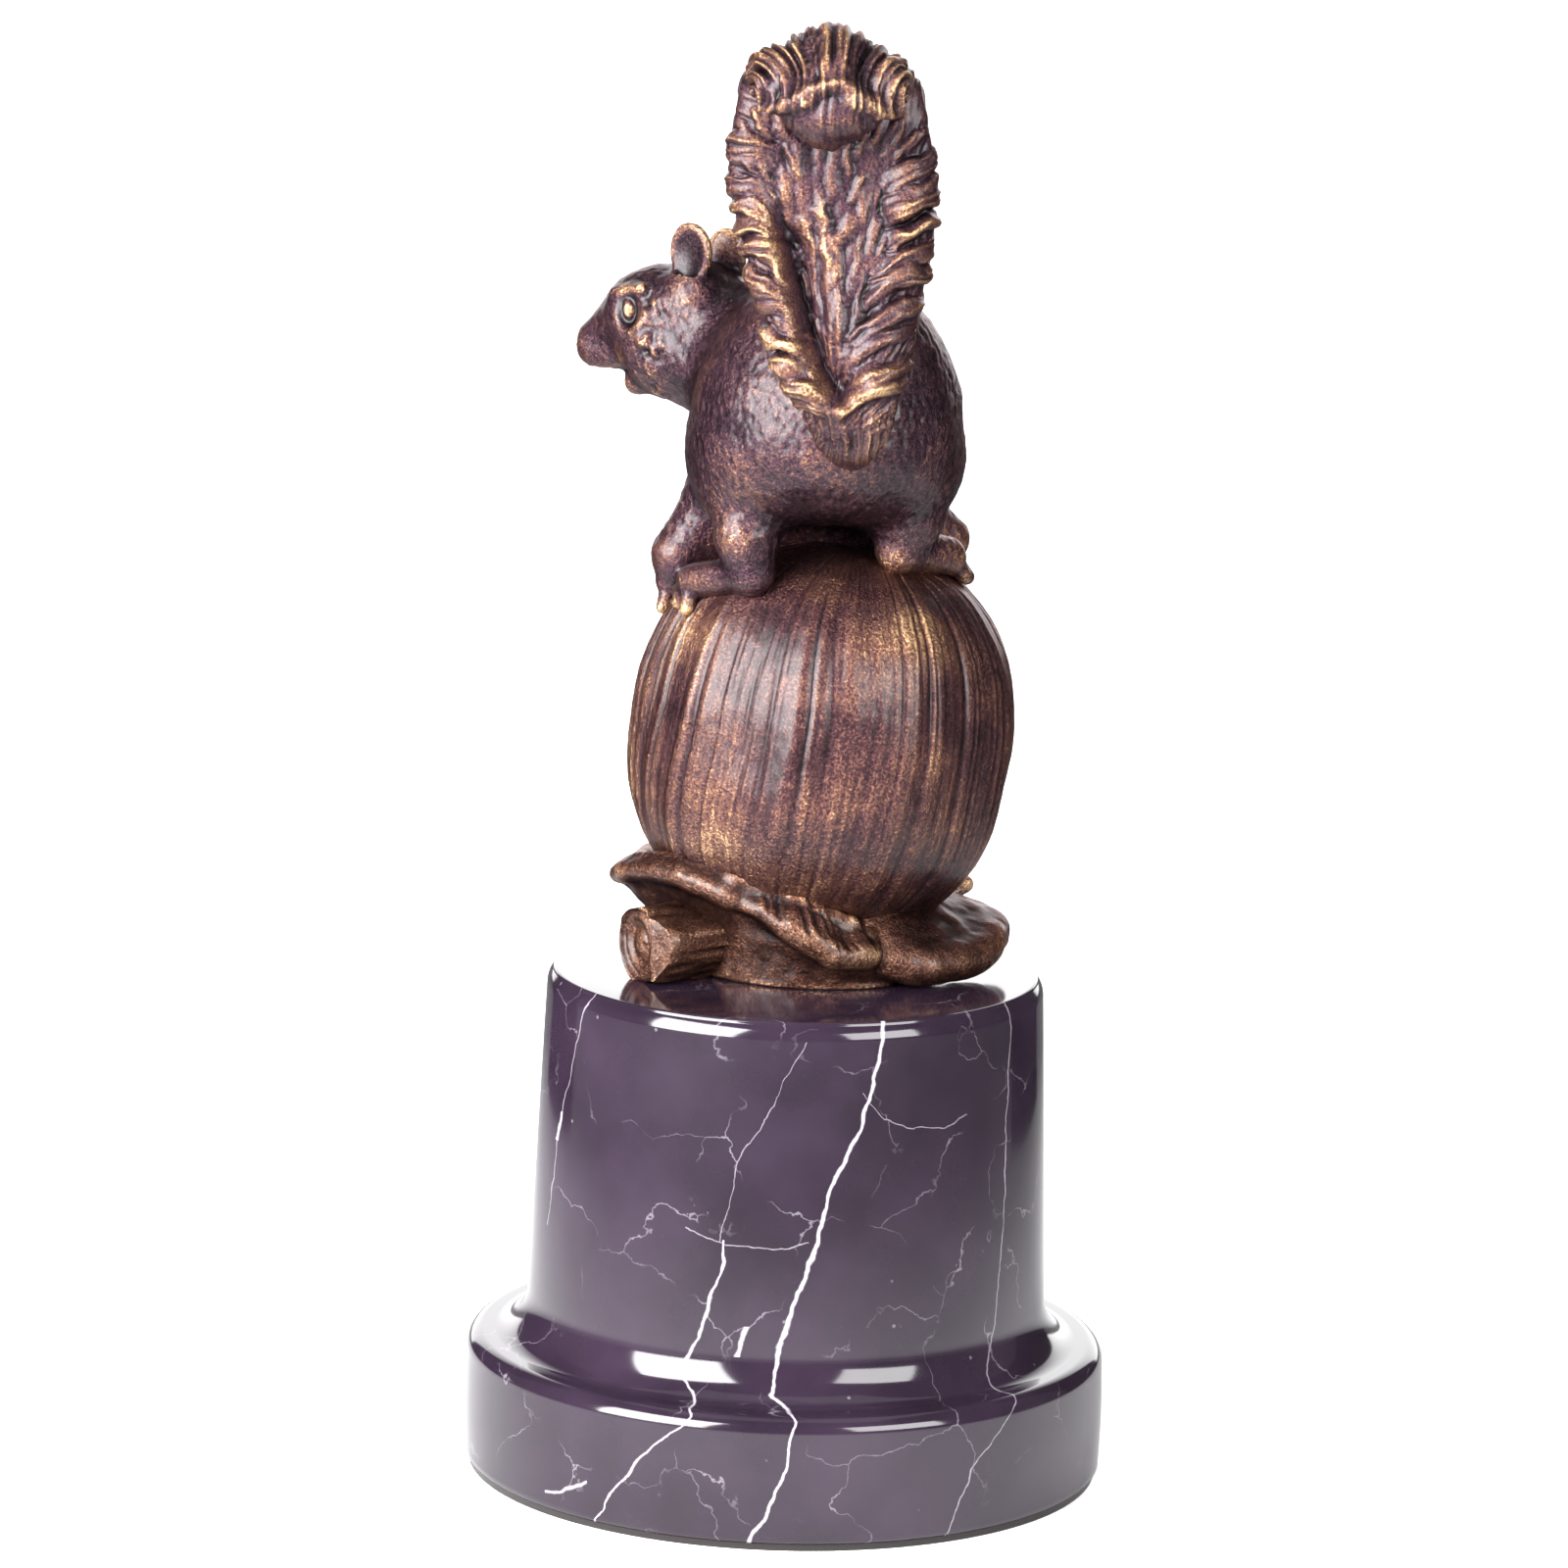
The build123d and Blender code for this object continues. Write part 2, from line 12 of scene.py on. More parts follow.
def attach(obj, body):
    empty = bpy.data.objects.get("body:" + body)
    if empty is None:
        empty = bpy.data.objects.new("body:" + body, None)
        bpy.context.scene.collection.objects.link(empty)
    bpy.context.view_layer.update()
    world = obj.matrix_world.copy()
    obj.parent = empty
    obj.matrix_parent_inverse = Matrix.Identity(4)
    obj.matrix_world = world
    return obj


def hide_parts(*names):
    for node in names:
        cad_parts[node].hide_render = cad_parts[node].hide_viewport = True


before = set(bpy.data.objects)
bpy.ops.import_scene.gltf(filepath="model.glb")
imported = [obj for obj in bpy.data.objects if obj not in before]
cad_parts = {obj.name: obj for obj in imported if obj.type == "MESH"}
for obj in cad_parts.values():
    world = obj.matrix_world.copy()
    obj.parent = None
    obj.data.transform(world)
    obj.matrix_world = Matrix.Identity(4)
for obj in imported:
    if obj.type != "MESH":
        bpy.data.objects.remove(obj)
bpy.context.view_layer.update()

bl_info = {
    "name": "Bronze squirrel",
    "version": (1, 0, 0),
    "blender": (4, 5, 0),
    "location": "View3D > Sidebar > Figure",
    "description": "Builds the looks of a bronze squirrel on a marble socle",
    "category": "Object",
}

MM = 0.001
ACROSS, UP = np.array([1.0, 0.0, 0.0]), np.array([0.0, 0.0, 1.0])

# Places in millimetres, the same as in the CAD part
MARBLE_TOP = 76.7
NUT = np.array([3.0, 6.0, 111.6])
NUT_TILT = math.radians(8.0)
NUT_AXIS = np.array([math.sin(NUT_TILT), 0.0, math.cos(NUT_TILT)])
NUT_SIDE = np.array([math.cos(NUT_TILT), 0.0, -math.sin(NUT_TILT)])
NUT_POWER = 2.5
RUMP = np.array([2.1, -1.0, 158.9])
SKULL = np.array([-22.5, 14.0, 172.3])
HEAD_FRONT = np.array([-0.9018, 0.4205, -0.0995])
HEAD_LEFT = np.array([-0.4226, -0.9063, 0.0])


class NutSettings(bpy.types.PropertyGroup):
    """Sizes of the hazelnut."""

    radius: FloatProperty(
        name="Radius", description="Half width of the nut", default=28.5 * MM, unit="LENGTH"
    )
    half_height: FloatProperty(
        name="Half height", description="Half height of the nut", default=29.3 * MM, unit="LENGTH"
    )
    groove_depth: FloatProperty(
        name="Groove depth", description="Depth of the deepest groove", default=0.75 * MM, unit="LENGTH"
    )
    grooves: IntProperty(name="Grooves", description="Grooves round the nut", default=62)


class FurSettings(bpy.types.PropertyGroup):
    """Sizes of the squirrel's fur."""

    mesh_step: FloatProperty(
        name="Mesh step", description="Grid step of the skin", default=0.34 * MM, unit="LENGTH"
    )
    strand_width: FloatProperty(
        name="Strand width", description="Width of a lick of fur", default=0.6 * MM, unit="LENGTH"
    )
    strand_length: FloatProperty(
        name="Strand length", description="Length of a lick of fur", default=0.9 * MM, unit="LENGTH"
    )
    strand_depth: FloatProperty(
        name="Strand depth", description="Depth between licks of fur", default=0.038 * MM, unit="LENGTH"
    )


class TailSettings(bpy.types.PropertyGroup):
    """Sizes of the locks on the tail."""

    lock_pitch: FloatProperty(
        name="Lock pitch", description="Distance from lock to lock", default=3.6 * MM, unit="LENGTH"
    )
    lock_depth: FloatProperty(
        name="Lock depth", description="Height of a lock over the next", default=1.8 * MM, unit="LENGTH"
    )
    strand_depth: FloatProperty(
        name="Strand depth", description="Depth of the hair lines", default=0.34 * MM, unit="LENGTH"
    )


class BronzeSettings(bpy.types.PropertyGroup):
    """Colours of the bronze and its patina."""

    # The hollow colour is patina and also painted shade in the creases; the rubbed and bright colours on the
    # ridges are rubbed bronze and also a painted highlight
    hollow: StringProperty(name="Hollows", description="Dark patina in the hollows", default="#130a0e")
    patina: StringProperty(name="Patina", description="Violet patina of the squirrel", default="#432d38")
    warm: StringProperty(name="Warm", description="Reddish brown patina of the nut", default="#43292d")
    brown: StringProperty(name="Brown", description="Warm brown patina of husk and twig", default="#40271f")
    rubbed_and_highlit: StringProperty(name="Rubbed", description="Bronze where the patina is thin", default="#785443")
    bright: StringProperty(name="Bright", description="Bare bronze on the ridges", default="#cfa97d")
    edge: StringProperty(name="Edge", description="Tint of the sheen at a grazing angle", default="#b09aa0")


class StoneSettings(bpy.types.PropertyGroup):
    """Colours of the marble and the felt."""

    ground: StringProperty(name="Ground", description="Black ground of the marble", default="#1d141f")
    cloud: StringProperty(name="Clouds", description="Paler clouds in the ground", default="#2b202e")
    vein: StringProperty(name="Veins", description="White calcite veins", default="#b7afb9")
    felt: StringProperty(name="Felt", description="Pressed felt under the stone", default="#1d1717")


class StageSettings(bpy.types.PropertyGroup):
    """Colours of the studio and power of its lamps."""

    floor: StringProperty(name="Floor", description="Pale studio floor", default="#fbfbfc")
    dim: FloatProperty(name="Dim", description="Grey level of the studio past the floor", default=0.03)
    card: StringProperty(name="Card", description="Black cards beside the socle", default="#060606")
    key_power: FloatProperty(name="Key", description="Left softbox", default=51.0, unit="POWER")
    fill_power: FloatProperty(name="Fill", description="Right softbox", default=12.0, unit="POWER")
    top_power: FloatProperty(name="Top", description="Softbox overhead", default=2.2, unit="POWER")
    backdrop: FloatProperty(
        name="Backdrop", description="Brightness of the white backdrop in reflections", default=3.4
    )


class FigureSettings(bpy.types.PropertyGroup):
    """All settings of the figure."""

    nut: PointerProperty(type=NutSettings, name="Nut", description="Hazelnut")
    fur: PointerProperty(type=FurSettings, name="Fur", description="Skin of the squirrel")
    tail: PointerProperty(type=TailSettings, name="Tail", description="Tail plume")
    bronze: PointerProperty(type=BronzeSettings, name="Bronze", description="Bronze colours")
    stone: PointerProperty(type=StoneSettings, name="Stone", description="Marble and felt colours")
    stage: PointerProperty(type=StageSettings, name="Stage", description="Floor and lamps")


def settings():
    """All settings of the figure."""
    return bpy.context.scene.figure


# Noise and relief

# Odd multipliers that scatter the cells of the noise and mix their bits
SCATTER = (374761393, 668265263, 1103515245)
SEED_STEP, MIXER, MASK = 974711, 1274126177, 0xFFFFFFFF


def smoothstep(low, high, value):
    """Smooth ramp from 0 at low to 1 at high."""
    t = np.clip((value - low) / (high - low), 0.0, 1.0)
    return t * t * (3.0 - 2.0 * t)


def bell(value):
    """Bell curve: 1 at 0, almost gone at 2."""
    return np.exp(-value ** 2)


def round_bump(value):
    """Round bump: 1 at 0, ended at 1."""
    return np.clip(1 - value ** 2, 0, 1)


def noise(points, cell, seed):
    """Smooth lattice noise between -1 and 1 at points, one lattice cell being cell long."""
    scaled = points / cell
    base = np.floor(scaled).astype(np.int64)
    part = scaled - base
    part = part * part * (3.0 - 2.0 * part)
    total = np.zeros(len(points))
    for corner in range(8):
        step = np.array([corner & 1, corner >> 1 & 1, corner >> 2 & 1])
        at = base + step
        mixed = (sum(at[:, k] * SCATTER[k] for k in range(3)) + seed * SEED_STEP) & MASK
        mixed = ((mixed ^ (mixed >> 13)) * MIXER) & MASK
        mixed = mixed ^ (mixed >> 16)
        weight = np.prod(np.where(step == 1, part, 1.0 - part), axis=1)
        total += weight * (mixed & 0xFFFF) / 65535.0
    return total * 2.0 - 1.0


def streaks(points, normals, way, cell, reach, seed):
    """Noise drawn out along way over the surface, like combed hair, with unit spread."""
    along = way - (way * normals).sum(1)[:, None] * normals
    along /= np.linalg.norm(along, axis=1)[:, None] + 1e-9
    total = np.zeros(len(points))
    for k in range(-5, 6):
        weight = 0.5 + 0.5 * math.cos(math.pi * k / 6)
        total += weight * noise(points + along * (reach * k / 5), cell, seed)
    return total / total.std()


def hair(across, along, seed):
    """Hair lines with unit spread from a coordinate across the hairs and one along them."""
    across, along = np.broadcast_arrays(across, along)
    points = np.stack([across.ravel(), along.ravel(), np.zeros(across.size)], axis=1)
    lines = noise(points, 1.0, seed) + 0.5 * noise(points * np.array([2.1, 1.4, 1.0]), 1.0, seed + 1)
    return lines.reshape(across.shape) / lines.std()


def turn_from(centre, bearing):
    """Shortest turn in radians from centre to each bearing."""
    return np.angle(np.exp(1j * (bearing - centre)))


# Meshes

def edges_of(quads):
    """Pairs of neighbouring points in a quad mesh."""
    pairs = np.concatenate([quads[:, [k, (k + 1) % 4]] for k in range(4)])
    pairs.sort(axis=1)
    return np.unique(pairs, axis=0)


def relax(values, pairs, rounds):
    """Average values with their neighbours over several rounds."""
    count = np.bincount(pairs.ravel(), minlength=len(values)).astype(float)[:, None] + 1e-9
    result = values.copy()
    for _ in range(rounds):
        total = np.zeros_like(result)
        for axis in range(result.shape[1]):
            total[:, axis] = np.bincount(pairs[:, 0], result[pairs[:, 1], axis], len(result))
            total[:, axis] += np.bincount(pairs[:, 1], result[pairs[:, 0], axis], len(result))
        result = 0.5 * result + 0.5 * total / count
    return result


def normals_of(points, quads):
    """Point normals of a quad mesh."""
    face = np.cross(points[quads[:, 2]] - points[quads[:, 0]], points[quads[:, 3]] - points[quads[:, 1]])
    total = np.zeros_like(points)
    for corner in range(4):
        for axis in range(3):
            total[:, axis] += np.bincount(quads[:, corner], face[:, axis], len(points))
    return total / (np.linalg.norm(total, axis=1)[:, None] + 1e-12)


def wear_and_painted_light_of(points, quads, fine, coarse):
    """How far points stand out, 0 in hollows to 1 on ridges, each scale being share, rounds and height; the
    bronze turns this into patina and wear, with painted shade in the hollows and a painted highlight on the
    ridges.
    """
    pairs, normals = edges_of(quads), normals_of(points, quads)
    total = np.zeros(len(points))
    for share, rounds, height in (fine, coarse):
        proud = ((points - relax(points, pairs, rounds)) * normals).sum(1)
        total += share * np.clip(0.5 + 0.5 * proud / height, 0.0, 1.0)
    return total


def mesh_piece(name, points, quads, wear, material, *nodes, slot="bronze"):
    """Mesh object from points in millimetres that stands for the CAD nodes."""
    mesh = bpy.data.meshes.new(name)
    mesh.vertices.add(len(points))
    mesh.vertices.foreach_set("co", (points * MM).astype(np.float32).ravel())
    mesh.loops.add(quads.size)
    mesh.loops.foreach_set("vertex_index", quads.astype(np.int32).ravel())
    mesh.polygons.add(len(quads))
    mesh.polygons.foreach_set("loop_start", np.arange(0, quads.size, 4, dtype=np.int32))
    mesh.polygons.foreach_set("use_smooth", np.ones(len(quads), dtype=bool))
    mesh.update(calc_edges=True)
    mesh.validate()
    # Point attribute of wear and patina, which also carries painted shade in the hollows and a painted
    # highlight on the ridges
    mesh.attributes.new("wear", "FLOAT", "POINT").data.foreach_set("value", wear.astype(np.float32))
    mesh.materials.append(material)
    piece = bpy.data.objects.new(name, mesh)
    bpy.context.scene.collection.objects.link(piece)
    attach(piece, "root")
    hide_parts(*nodes)
    return piece


def grid_quads(rows, columns):
    """Quads of a grid that closes round its columns."""
    index = np.arange(rows * columns).reshape(rows, columns)
    right = np.roll(index, -1, axis=1)
    return np.stack([index[:-1], right[:-1], right[1:], index[1:]], axis=-1).reshape(-1, 4)


def outward(points, quads, out):
    """The quads turned so that their normals go along out."""
    return quads if (normals_of(points, quads) * out).sum() > 0 else quads[:, ::-1]


def skins(nodes, points, quads, kind, wear, material):
    """Cut one skin into a piece for each CAD node by kind, with normals that run on across the cuts."""
    normals = normals_of(points, quads)
    for number, node in enumerate(nodes):
        used, faces = np.unique(quads[kind == number], return_inverse=True)
        piece = mesh_piece(node + "_skin", points[used], faces.reshape(-1, 4), wear[used], material, node)
        piece.data.normals_split_custom_set_from_vertices(normals[used])


class Clay:
    """Grid of distances to a soft union of round forms, each with a label."""

    def __init__(self, low, high, step):
        self.low = np.array(low, dtype=float)
        self.step = step
        self.shape = tuple(np.ceil((np.array(high) - self.low) / step).astype(int) + 1)
        self.field = np.full(self.shape, 50.0, dtype=np.float32)
        self.label = np.zeros(self.shape, dtype=np.int8)

    def block(self, low, high):
        """Slices and coordinates of the grid points between two corners."""
        first = np.maximum(np.floor((np.array(low) - self.low) / self.step).astype(int), 0)
        last = np.minimum(np.ceil((np.array(high) - self.low) / self.step).astype(int) + 1, self.shape)
        cut = tuple(slice(a, b) for a, b in zip(first, last))
        axes = [self.low[k] + self.step * np.arange(first[k], last[k]) for k in range(3)]
        return cut, np.stack(np.meshgrid(*axes, indexing="ij"), axis=-1).astype(np.float32)

    def blend(self, cut, distance, soft, label):
        """Soft union of a distance block with what is there."""
        old = self.field[cut]
        part = np.clip(0.5 + 0.5 * (old - distance) / soft, 0.0, 1.0)
        self.label[cut] = np.where(distance < old, label, self.label[cut])
        self.field[cut] = old * (1.0 - part) + distance * part - soft * part * (1.0 - part)

    def limb(self, start, start_radius, end, end_radius, soft, label=0):
        """Tapered round limb."""
        start, end = np.array(start, float), np.array(end, float)
        room = max(start_radius, end_radius) + soft + 2 * self.step
        cut, at = self.block(np.minimum(start, end) - room, np.maximum(start, end) + room)
        run = (end - start).astype(np.float32)
        part = np.clip(((at - start.astype(np.float32)) @ run) / (run @ run), 0.0, 1.0)
        nearest = start.astype(np.float32) + part[..., None] * run
        distance = np.linalg.norm(at - nearest, axis=-1) - (start_radius + part * (end_radius - start_radius))
        self.blend(cut, distance, soft, label)

    def oval(self, centre, axes, front, back, soft, label=0, carve=False):
        """Ellipsoid with its own radii before and behind each axis, None behind being the same as before."""
        centre, back = np.array(centre, float), back or front
        room = max(max(front), max(back)) + soft + 2 * self.step
        cut, at = self.block(centre - room, centre + room)
        local = (at - centre.astype(np.float32)) @ np.array(axes, dtype=np.float32).T
        radii = np.where(local > 0, np.array(front, np.float32), np.array(back, np.float32))
        near = np.linalg.norm(local / radii, axis=-1)
        steep = np.linalg.norm(local / radii**2, axis=-1) + 1e-9
        distance = near * (near - 1.0) / steep
        if carve:
            old = self.field[cut]
            part = np.clip(0.5 - 0.5 * (old + distance) / soft, 0.0, 1.0)
            self.field[cut] = old * (1.0 - part) - distance * part + soft * part * (1.0 - part)
        else:
            self.blend(cut, distance, soft, label)

    def skin(self):
        """Points, quads and point labels of the surface where the distance is zero."""
        inside = self.field < 0
        size = np.array(self.shape) - 1
        full = np.zeros(size, dtype=np.uint8)
        for a, b, c in np.ndindex(2, 2, 2):
            full += inside[a:a + size[0], b:b + size[1], c:c + size[2]]
        cells = np.argwhere((full > 0) & (full < 8))
        index = np.full(size, -1, dtype=np.int64)
        index[tuple(cells.T)] = np.arange(len(cells))
        return self.cell_points(cells), self.cell_quads(inside, index), self.label[tuple(cells.T)]

    def cell_points(self, cells):
        """One point in each cell, in the middle of where the surface crosses its edges."""
        total = np.zeros((len(cells), 3))
        count = np.zeros(len(cells))
        for axis in range(3):
            u, v = (axis + 1) % 3, (axis + 2) % 3
            for du, dv in np.ndindex(2, 2):
                low = cells.copy()
                low[:, u] += du
                low[:, v] += dv
                high = low.copy()
                high[:, axis] += 1
                value_low = self.field[tuple(low.T)]
                value_high = self.field[tuple(high.T)]
                cross = (value_low < 0) != (value_high < 0)
                spot = low[cross].astype(float)
                spot[:, axis] += value_low[cross] / (value_low[cross] - value_high[cross])
                total[cross] += spot
                count[cross] += 1
        return self.low + self.step * total / count[:, None]

    def cell_quads(self, inside, index):
        """One quad round each grid edge that leaves or enters the form."""
        size = index.shape
        quads = []
        for axis in range(3):
            u, v = (axis + 1) % 3, (axis + 2) % 3
            lower = np.take(inside, range(0, size[axis]), axis=axis)
            upper = np.take(inside, range(1, size[axis] + 1), axis=axis)
            spots = np.argwhere(lower != upper)
            for side in (u, v):
                spots = spots[(spots[:, side] > 0) & (spots[:, side] < size[side])]
            leaving = lower[tuple(spots.T)]
            back_u, back_v = np.eye(3, dtype=int)[[u, v]]
            ring = [spots - back_u - back_v, spots - back_v, spots, spots - back_u]
            quad = np.stack([index[tuple(at.T)] for at in ring], axis=1)
            quads.append(np.where(leaving[:, None], quad, quad[:, ::-1]))
        return np.concatenate(quads)


# Materials

MATH, NOISE, MAP_RANGE = "ShaderNodeMath", "ShaderNodeTexNoise", "ShaderNodeMapRange"


def linear(colour):
    """Linear colour of a hex colour as the eye sees it."""
    channels = [int(colour[k:k + 2], 16) / 255 for k in (1, 3, 5)]
    return [c / 12.92 if c <= 0.04045 else ((c + 0.055) / 1.055) ** 2.4 for c in channels] + [1.0]


def add_node(tree, kind, feeds=None, **fields):
    """Add a shader node, set its fields, and set its sockets or link them, a node by its first output."""
    made = tree.nodes.new(kind)
    for field, value in fields.items():
        setattr(made, field, value)
    for socket, value in (feeds or {}).items():
        if isinstance(value, bpy.types.Node):
            value = value.outputs[0]
        if isinstance(value, bpy.types.NodeSocket):
            tree.links.new(value, made.inputs[socket])
        else:
            made.inputs[socket].default_value = value
    return made


def new_material(name, **values):
    """Node material with its shader, whose sockets are named by values with _ for a space."""
    material = bpy.data.materials.new(name)
    material.use_nodes = True
    tree = material.node_tree
    shader = tree.nodes["Principled BSDF"]
    for socket, value in values.items():
        shader.inputs[socket.replace("_", " ")].default_value = value
    return material, tree, shader


def set_stops(made, stops):
    """Give a colour ramp its stops of place and hex colour."""
    elements = made.color_ramp.elements
    for place, _ in stops[2:]:
        elements.new(place)
    for element, (place, colour) in zip(elements, stops):
        element.position = place
        element.color = linear(colour)


# Surface of the bronze: size and depth of the cast grain, and size and amount of the patina's clouds
GRAIN, GRAIN_DEPTH = 0.4 * MM, 0.34 * MM
CLOUD, CLOUD_AMOUNT = 11 * MM, 0.8


def bronze(name, patina, grain_amount, rub):
    """Cast bronze with a waxed patina: dark hollows, grainy walls and gold ridges under a pale sheen. The
    dark hollows are patina and painted shade, and the gold ridges are rubbed bronze and a painted highlight.
    """
    colours = settings().bronze
    # Patina is matt at a grazing angle, so the rims stay darker than bare metal, and the coat is thin wax
    material, tree, shader = new_material(
        name, Metallic=0.9, Specular_Tint=linear(colours.edge), Coat_Weight=0.45, Coat_Roughness=0.3
    )
    place = add_node(tree, "ShaderNodeTexCoord").outputs["Object"]
    wear = add_node(tree, "ShaderNodeAttribute", attribute_name="wear").outputs["Fac"]
    grain = add_node(tree, NOISE, {"Vector": place, "Scale": 1 / GRAIN, "Detail": 3.0, "Roughness": 0.65})
    cloud = add_node(tree, NOISE, {"Vector": place, "Scale": 1 / CLOUD, "Detail": 3.0})
    # Ridges are rubbed bright and hollows stay dark, which also paints a highlight on the ridges and shade in
    # the hollows, and the cast grain breaks the edge of the patina
    grained = add_node(tree, MATH, {0: grain, 1: grain_amount, 2: wear}, operation="MULTIPLY_ADD")
    clouded = add_node(tree, MATH, {0: cloud, 1: CLOUD_AMOUNT, 2: grained}, operation="MULTIPLY_ADD")
    middle = rub - (CLOUD_AMOUNT + grain_amount) / 2
    level = add_node(tree, MATH, {0: clouded, 1: middle}, operation="ADD")
    shade = add_node(tree, "ShaderNodeValToRGB", {"Fac": level})
    set_stops(shade, [(0.18, colours.hollow), (0.5, patina), (0.78, colours.rubbed_and_highlit), (1.0, colours.bright)])
    gloss = {"Value": level, "From Min": 0.2, "From Max": 0.9, "To Min": 0.42, "To Max": 0.28}
    rough = add_node(tree, MAP_RANGE, gloss)
    bump = add_node(tree, "ShaderNodeBump", {"Height": grain, "Strength": 1.0, "Distance": GRAIN_DEPTH})
    for socket, made in (("Base Color", shade), ("Roughness", rough), ("Normal", bump)):
        tree.links.new(made.outputs[0], shader.inputs[socket])
    return material


# Veins of the marble: half width in mm, strength, what the path gives and its points.
# A rising vein gives bearing in degrees by height in mm, a level one the height by bearing.
VEINS = [
    (0.43, 0.95, "rising", [(76.7, 21.6), (62.1, 16.0), (52.6, 9.7), (40.9, 4.7), (28.3, -1.1),
                            (21.5, -2.2), (19.7, 2.6), (11.0, 0.6), (5.0, -2.6), (0.9, -5.4)]),
    (0.3, 0.8, "rising", [(43.9, -13.8), (39.0, -14.6), (32.7, -17.2), (23.5, -23.2), (19.5, -15.8),
                          (11.9, -25.8), (0.9, -35.0)]),
    (0.17, 0.5, "rising", [(76.7, 58.8), (58.1, 57.0), (43.4, 55.7), (28.7, 53.3), (20.2, 46.7),
                           (10.8, 35.1), (0.9, 31.0)]),
    (0.15, 0.5, "rising", [(76.7, -54.5), (66.1, -60.0), (55.0, -64.6), (39.3, -68.4)]),
    (0.5, 0.9, "rising", [(57.4, -63.8), (55.0, -64.6), (52.8, -65.2)]),
    (0.12, 0.35, "rising", [(74.0, 3.4), (67.6, -2.2), (56.0, -11.3), (43.5, -14.8)]),
    (0.6, 0.8, "rising", [(31.2, -8.2), (29.2, -9.2), (26.6, -10.4)]),
    (0.13, 0.4, "level", [(-23.0, 45.2), (-15.0, 43.6), (-6.7, 42.6), (4.6, 43.9)]),
    (0.12, 0.35, "level", [(15.9, 66.0), (21.0, 62.4), (28.0, 60.3), (36.0, 60.0), (43.0, 61.4)]),
    (0.4, 0.6, "level", [(-46.0, 3.4), (-42.0, 4.6), (-36.0, 7.2)]),
    (0.2, 0.6, "rising", [(76.7, 150.0), (60.0, 158.0), (40.0, 149.0), (20.0, 163.0), (0.9, 155.0)]),
    (0.42, 0.9, "rising", [(70.0, 118.0), (50.0, 127.0), (30.0, 121.0), (12.0, 133.0), (0.9, 128.0)]),
    (0.36, 0.8, "rising", [(76.7, -128.0), (58.0, -136.0), (36.0, -131.0), (19.0, -143.0), (0.9, -138.0)]),
]
# Height that the veins' curves span, and how far and at what pitch the veins sway, in millimetres
VEIN_HEIGHT, VEIN_SWAY, VEIN_PITCH = 80.0, 1.3, 5.0
# Sizes in the marble, in millimetres: uneven vein width, warp of the cracks, their cells, clouds and flecks
UNEVEN, WARP, CRACK_CELL, STONE_CLOUD, FLECK_CELL = 9, 17, 24, 18, 7


def vein(tree, at, half_width, strength, kind, path):
    """One vein of the marble, as a node that is its strength on the line and 0 away from it."""
    if kind == "rising":
        by, other = at.level, at.bearing
        spots = sorted((height / VEIN_HEIGHT, angle / 360 + 0.5) for height, angle in path)
        scale = add_node(tree, MATH, {0: at.reach, 1: 2 * math.pi}, operation="MULTIPLY")
    else:
        by, other = at.bearing, at.level
        spots = sorted((angle / 360 + 0.5, height / VEIN_HEIGHT) for angle, height in path)
        scale = VEIN_HEIGHT * MM
    bend = add_node(tree, "ShaderNodeFloatCurve", {"Value": by})
    points = bend.mapping.curves[0].points
    for spot in spots[2:]:
        points.new(*spot)
    for point, spot in zip(points, spots):
        point.location = spot
        point.handle_type = "VECTOR"
    bend.mapping.update()
    apart = add_node(tree, MATH, {0: other, 1: bend}, operation="SUBTRACT")
    swayed = add_node(tree, MATH, {0: apart, 1: scale, 2: at.sway}, operation="MULTIPLY_ADD")
    gap = add_node(tree, MATH, {0: swayed}, operation="ABSOLUTE")
    edge = add_node(tree, MATH, {0: at.thickness, 1: 2.0 * half_width * MM}, operation="MULTIPLY")
    core = 0.15 * half_width * MM
    line = add_node(
        tree, MAP_RANGE, {"Value": gap, "From Min": edge, "From Max": core, "To Max": strength},
        interpolation_type="SMOOTHSTEP",
    )
    for end, operation in ((spots[0], "GREATER_THAN"), (spots[-1], "LESS_THAN")):
        within = add_node(tree, MATH, {0: by, 1: end[0]}, operation=operation)
        line = add_node(tree, MATH, {0: line, 1: within}, operation="MULTIPLY")
    return line


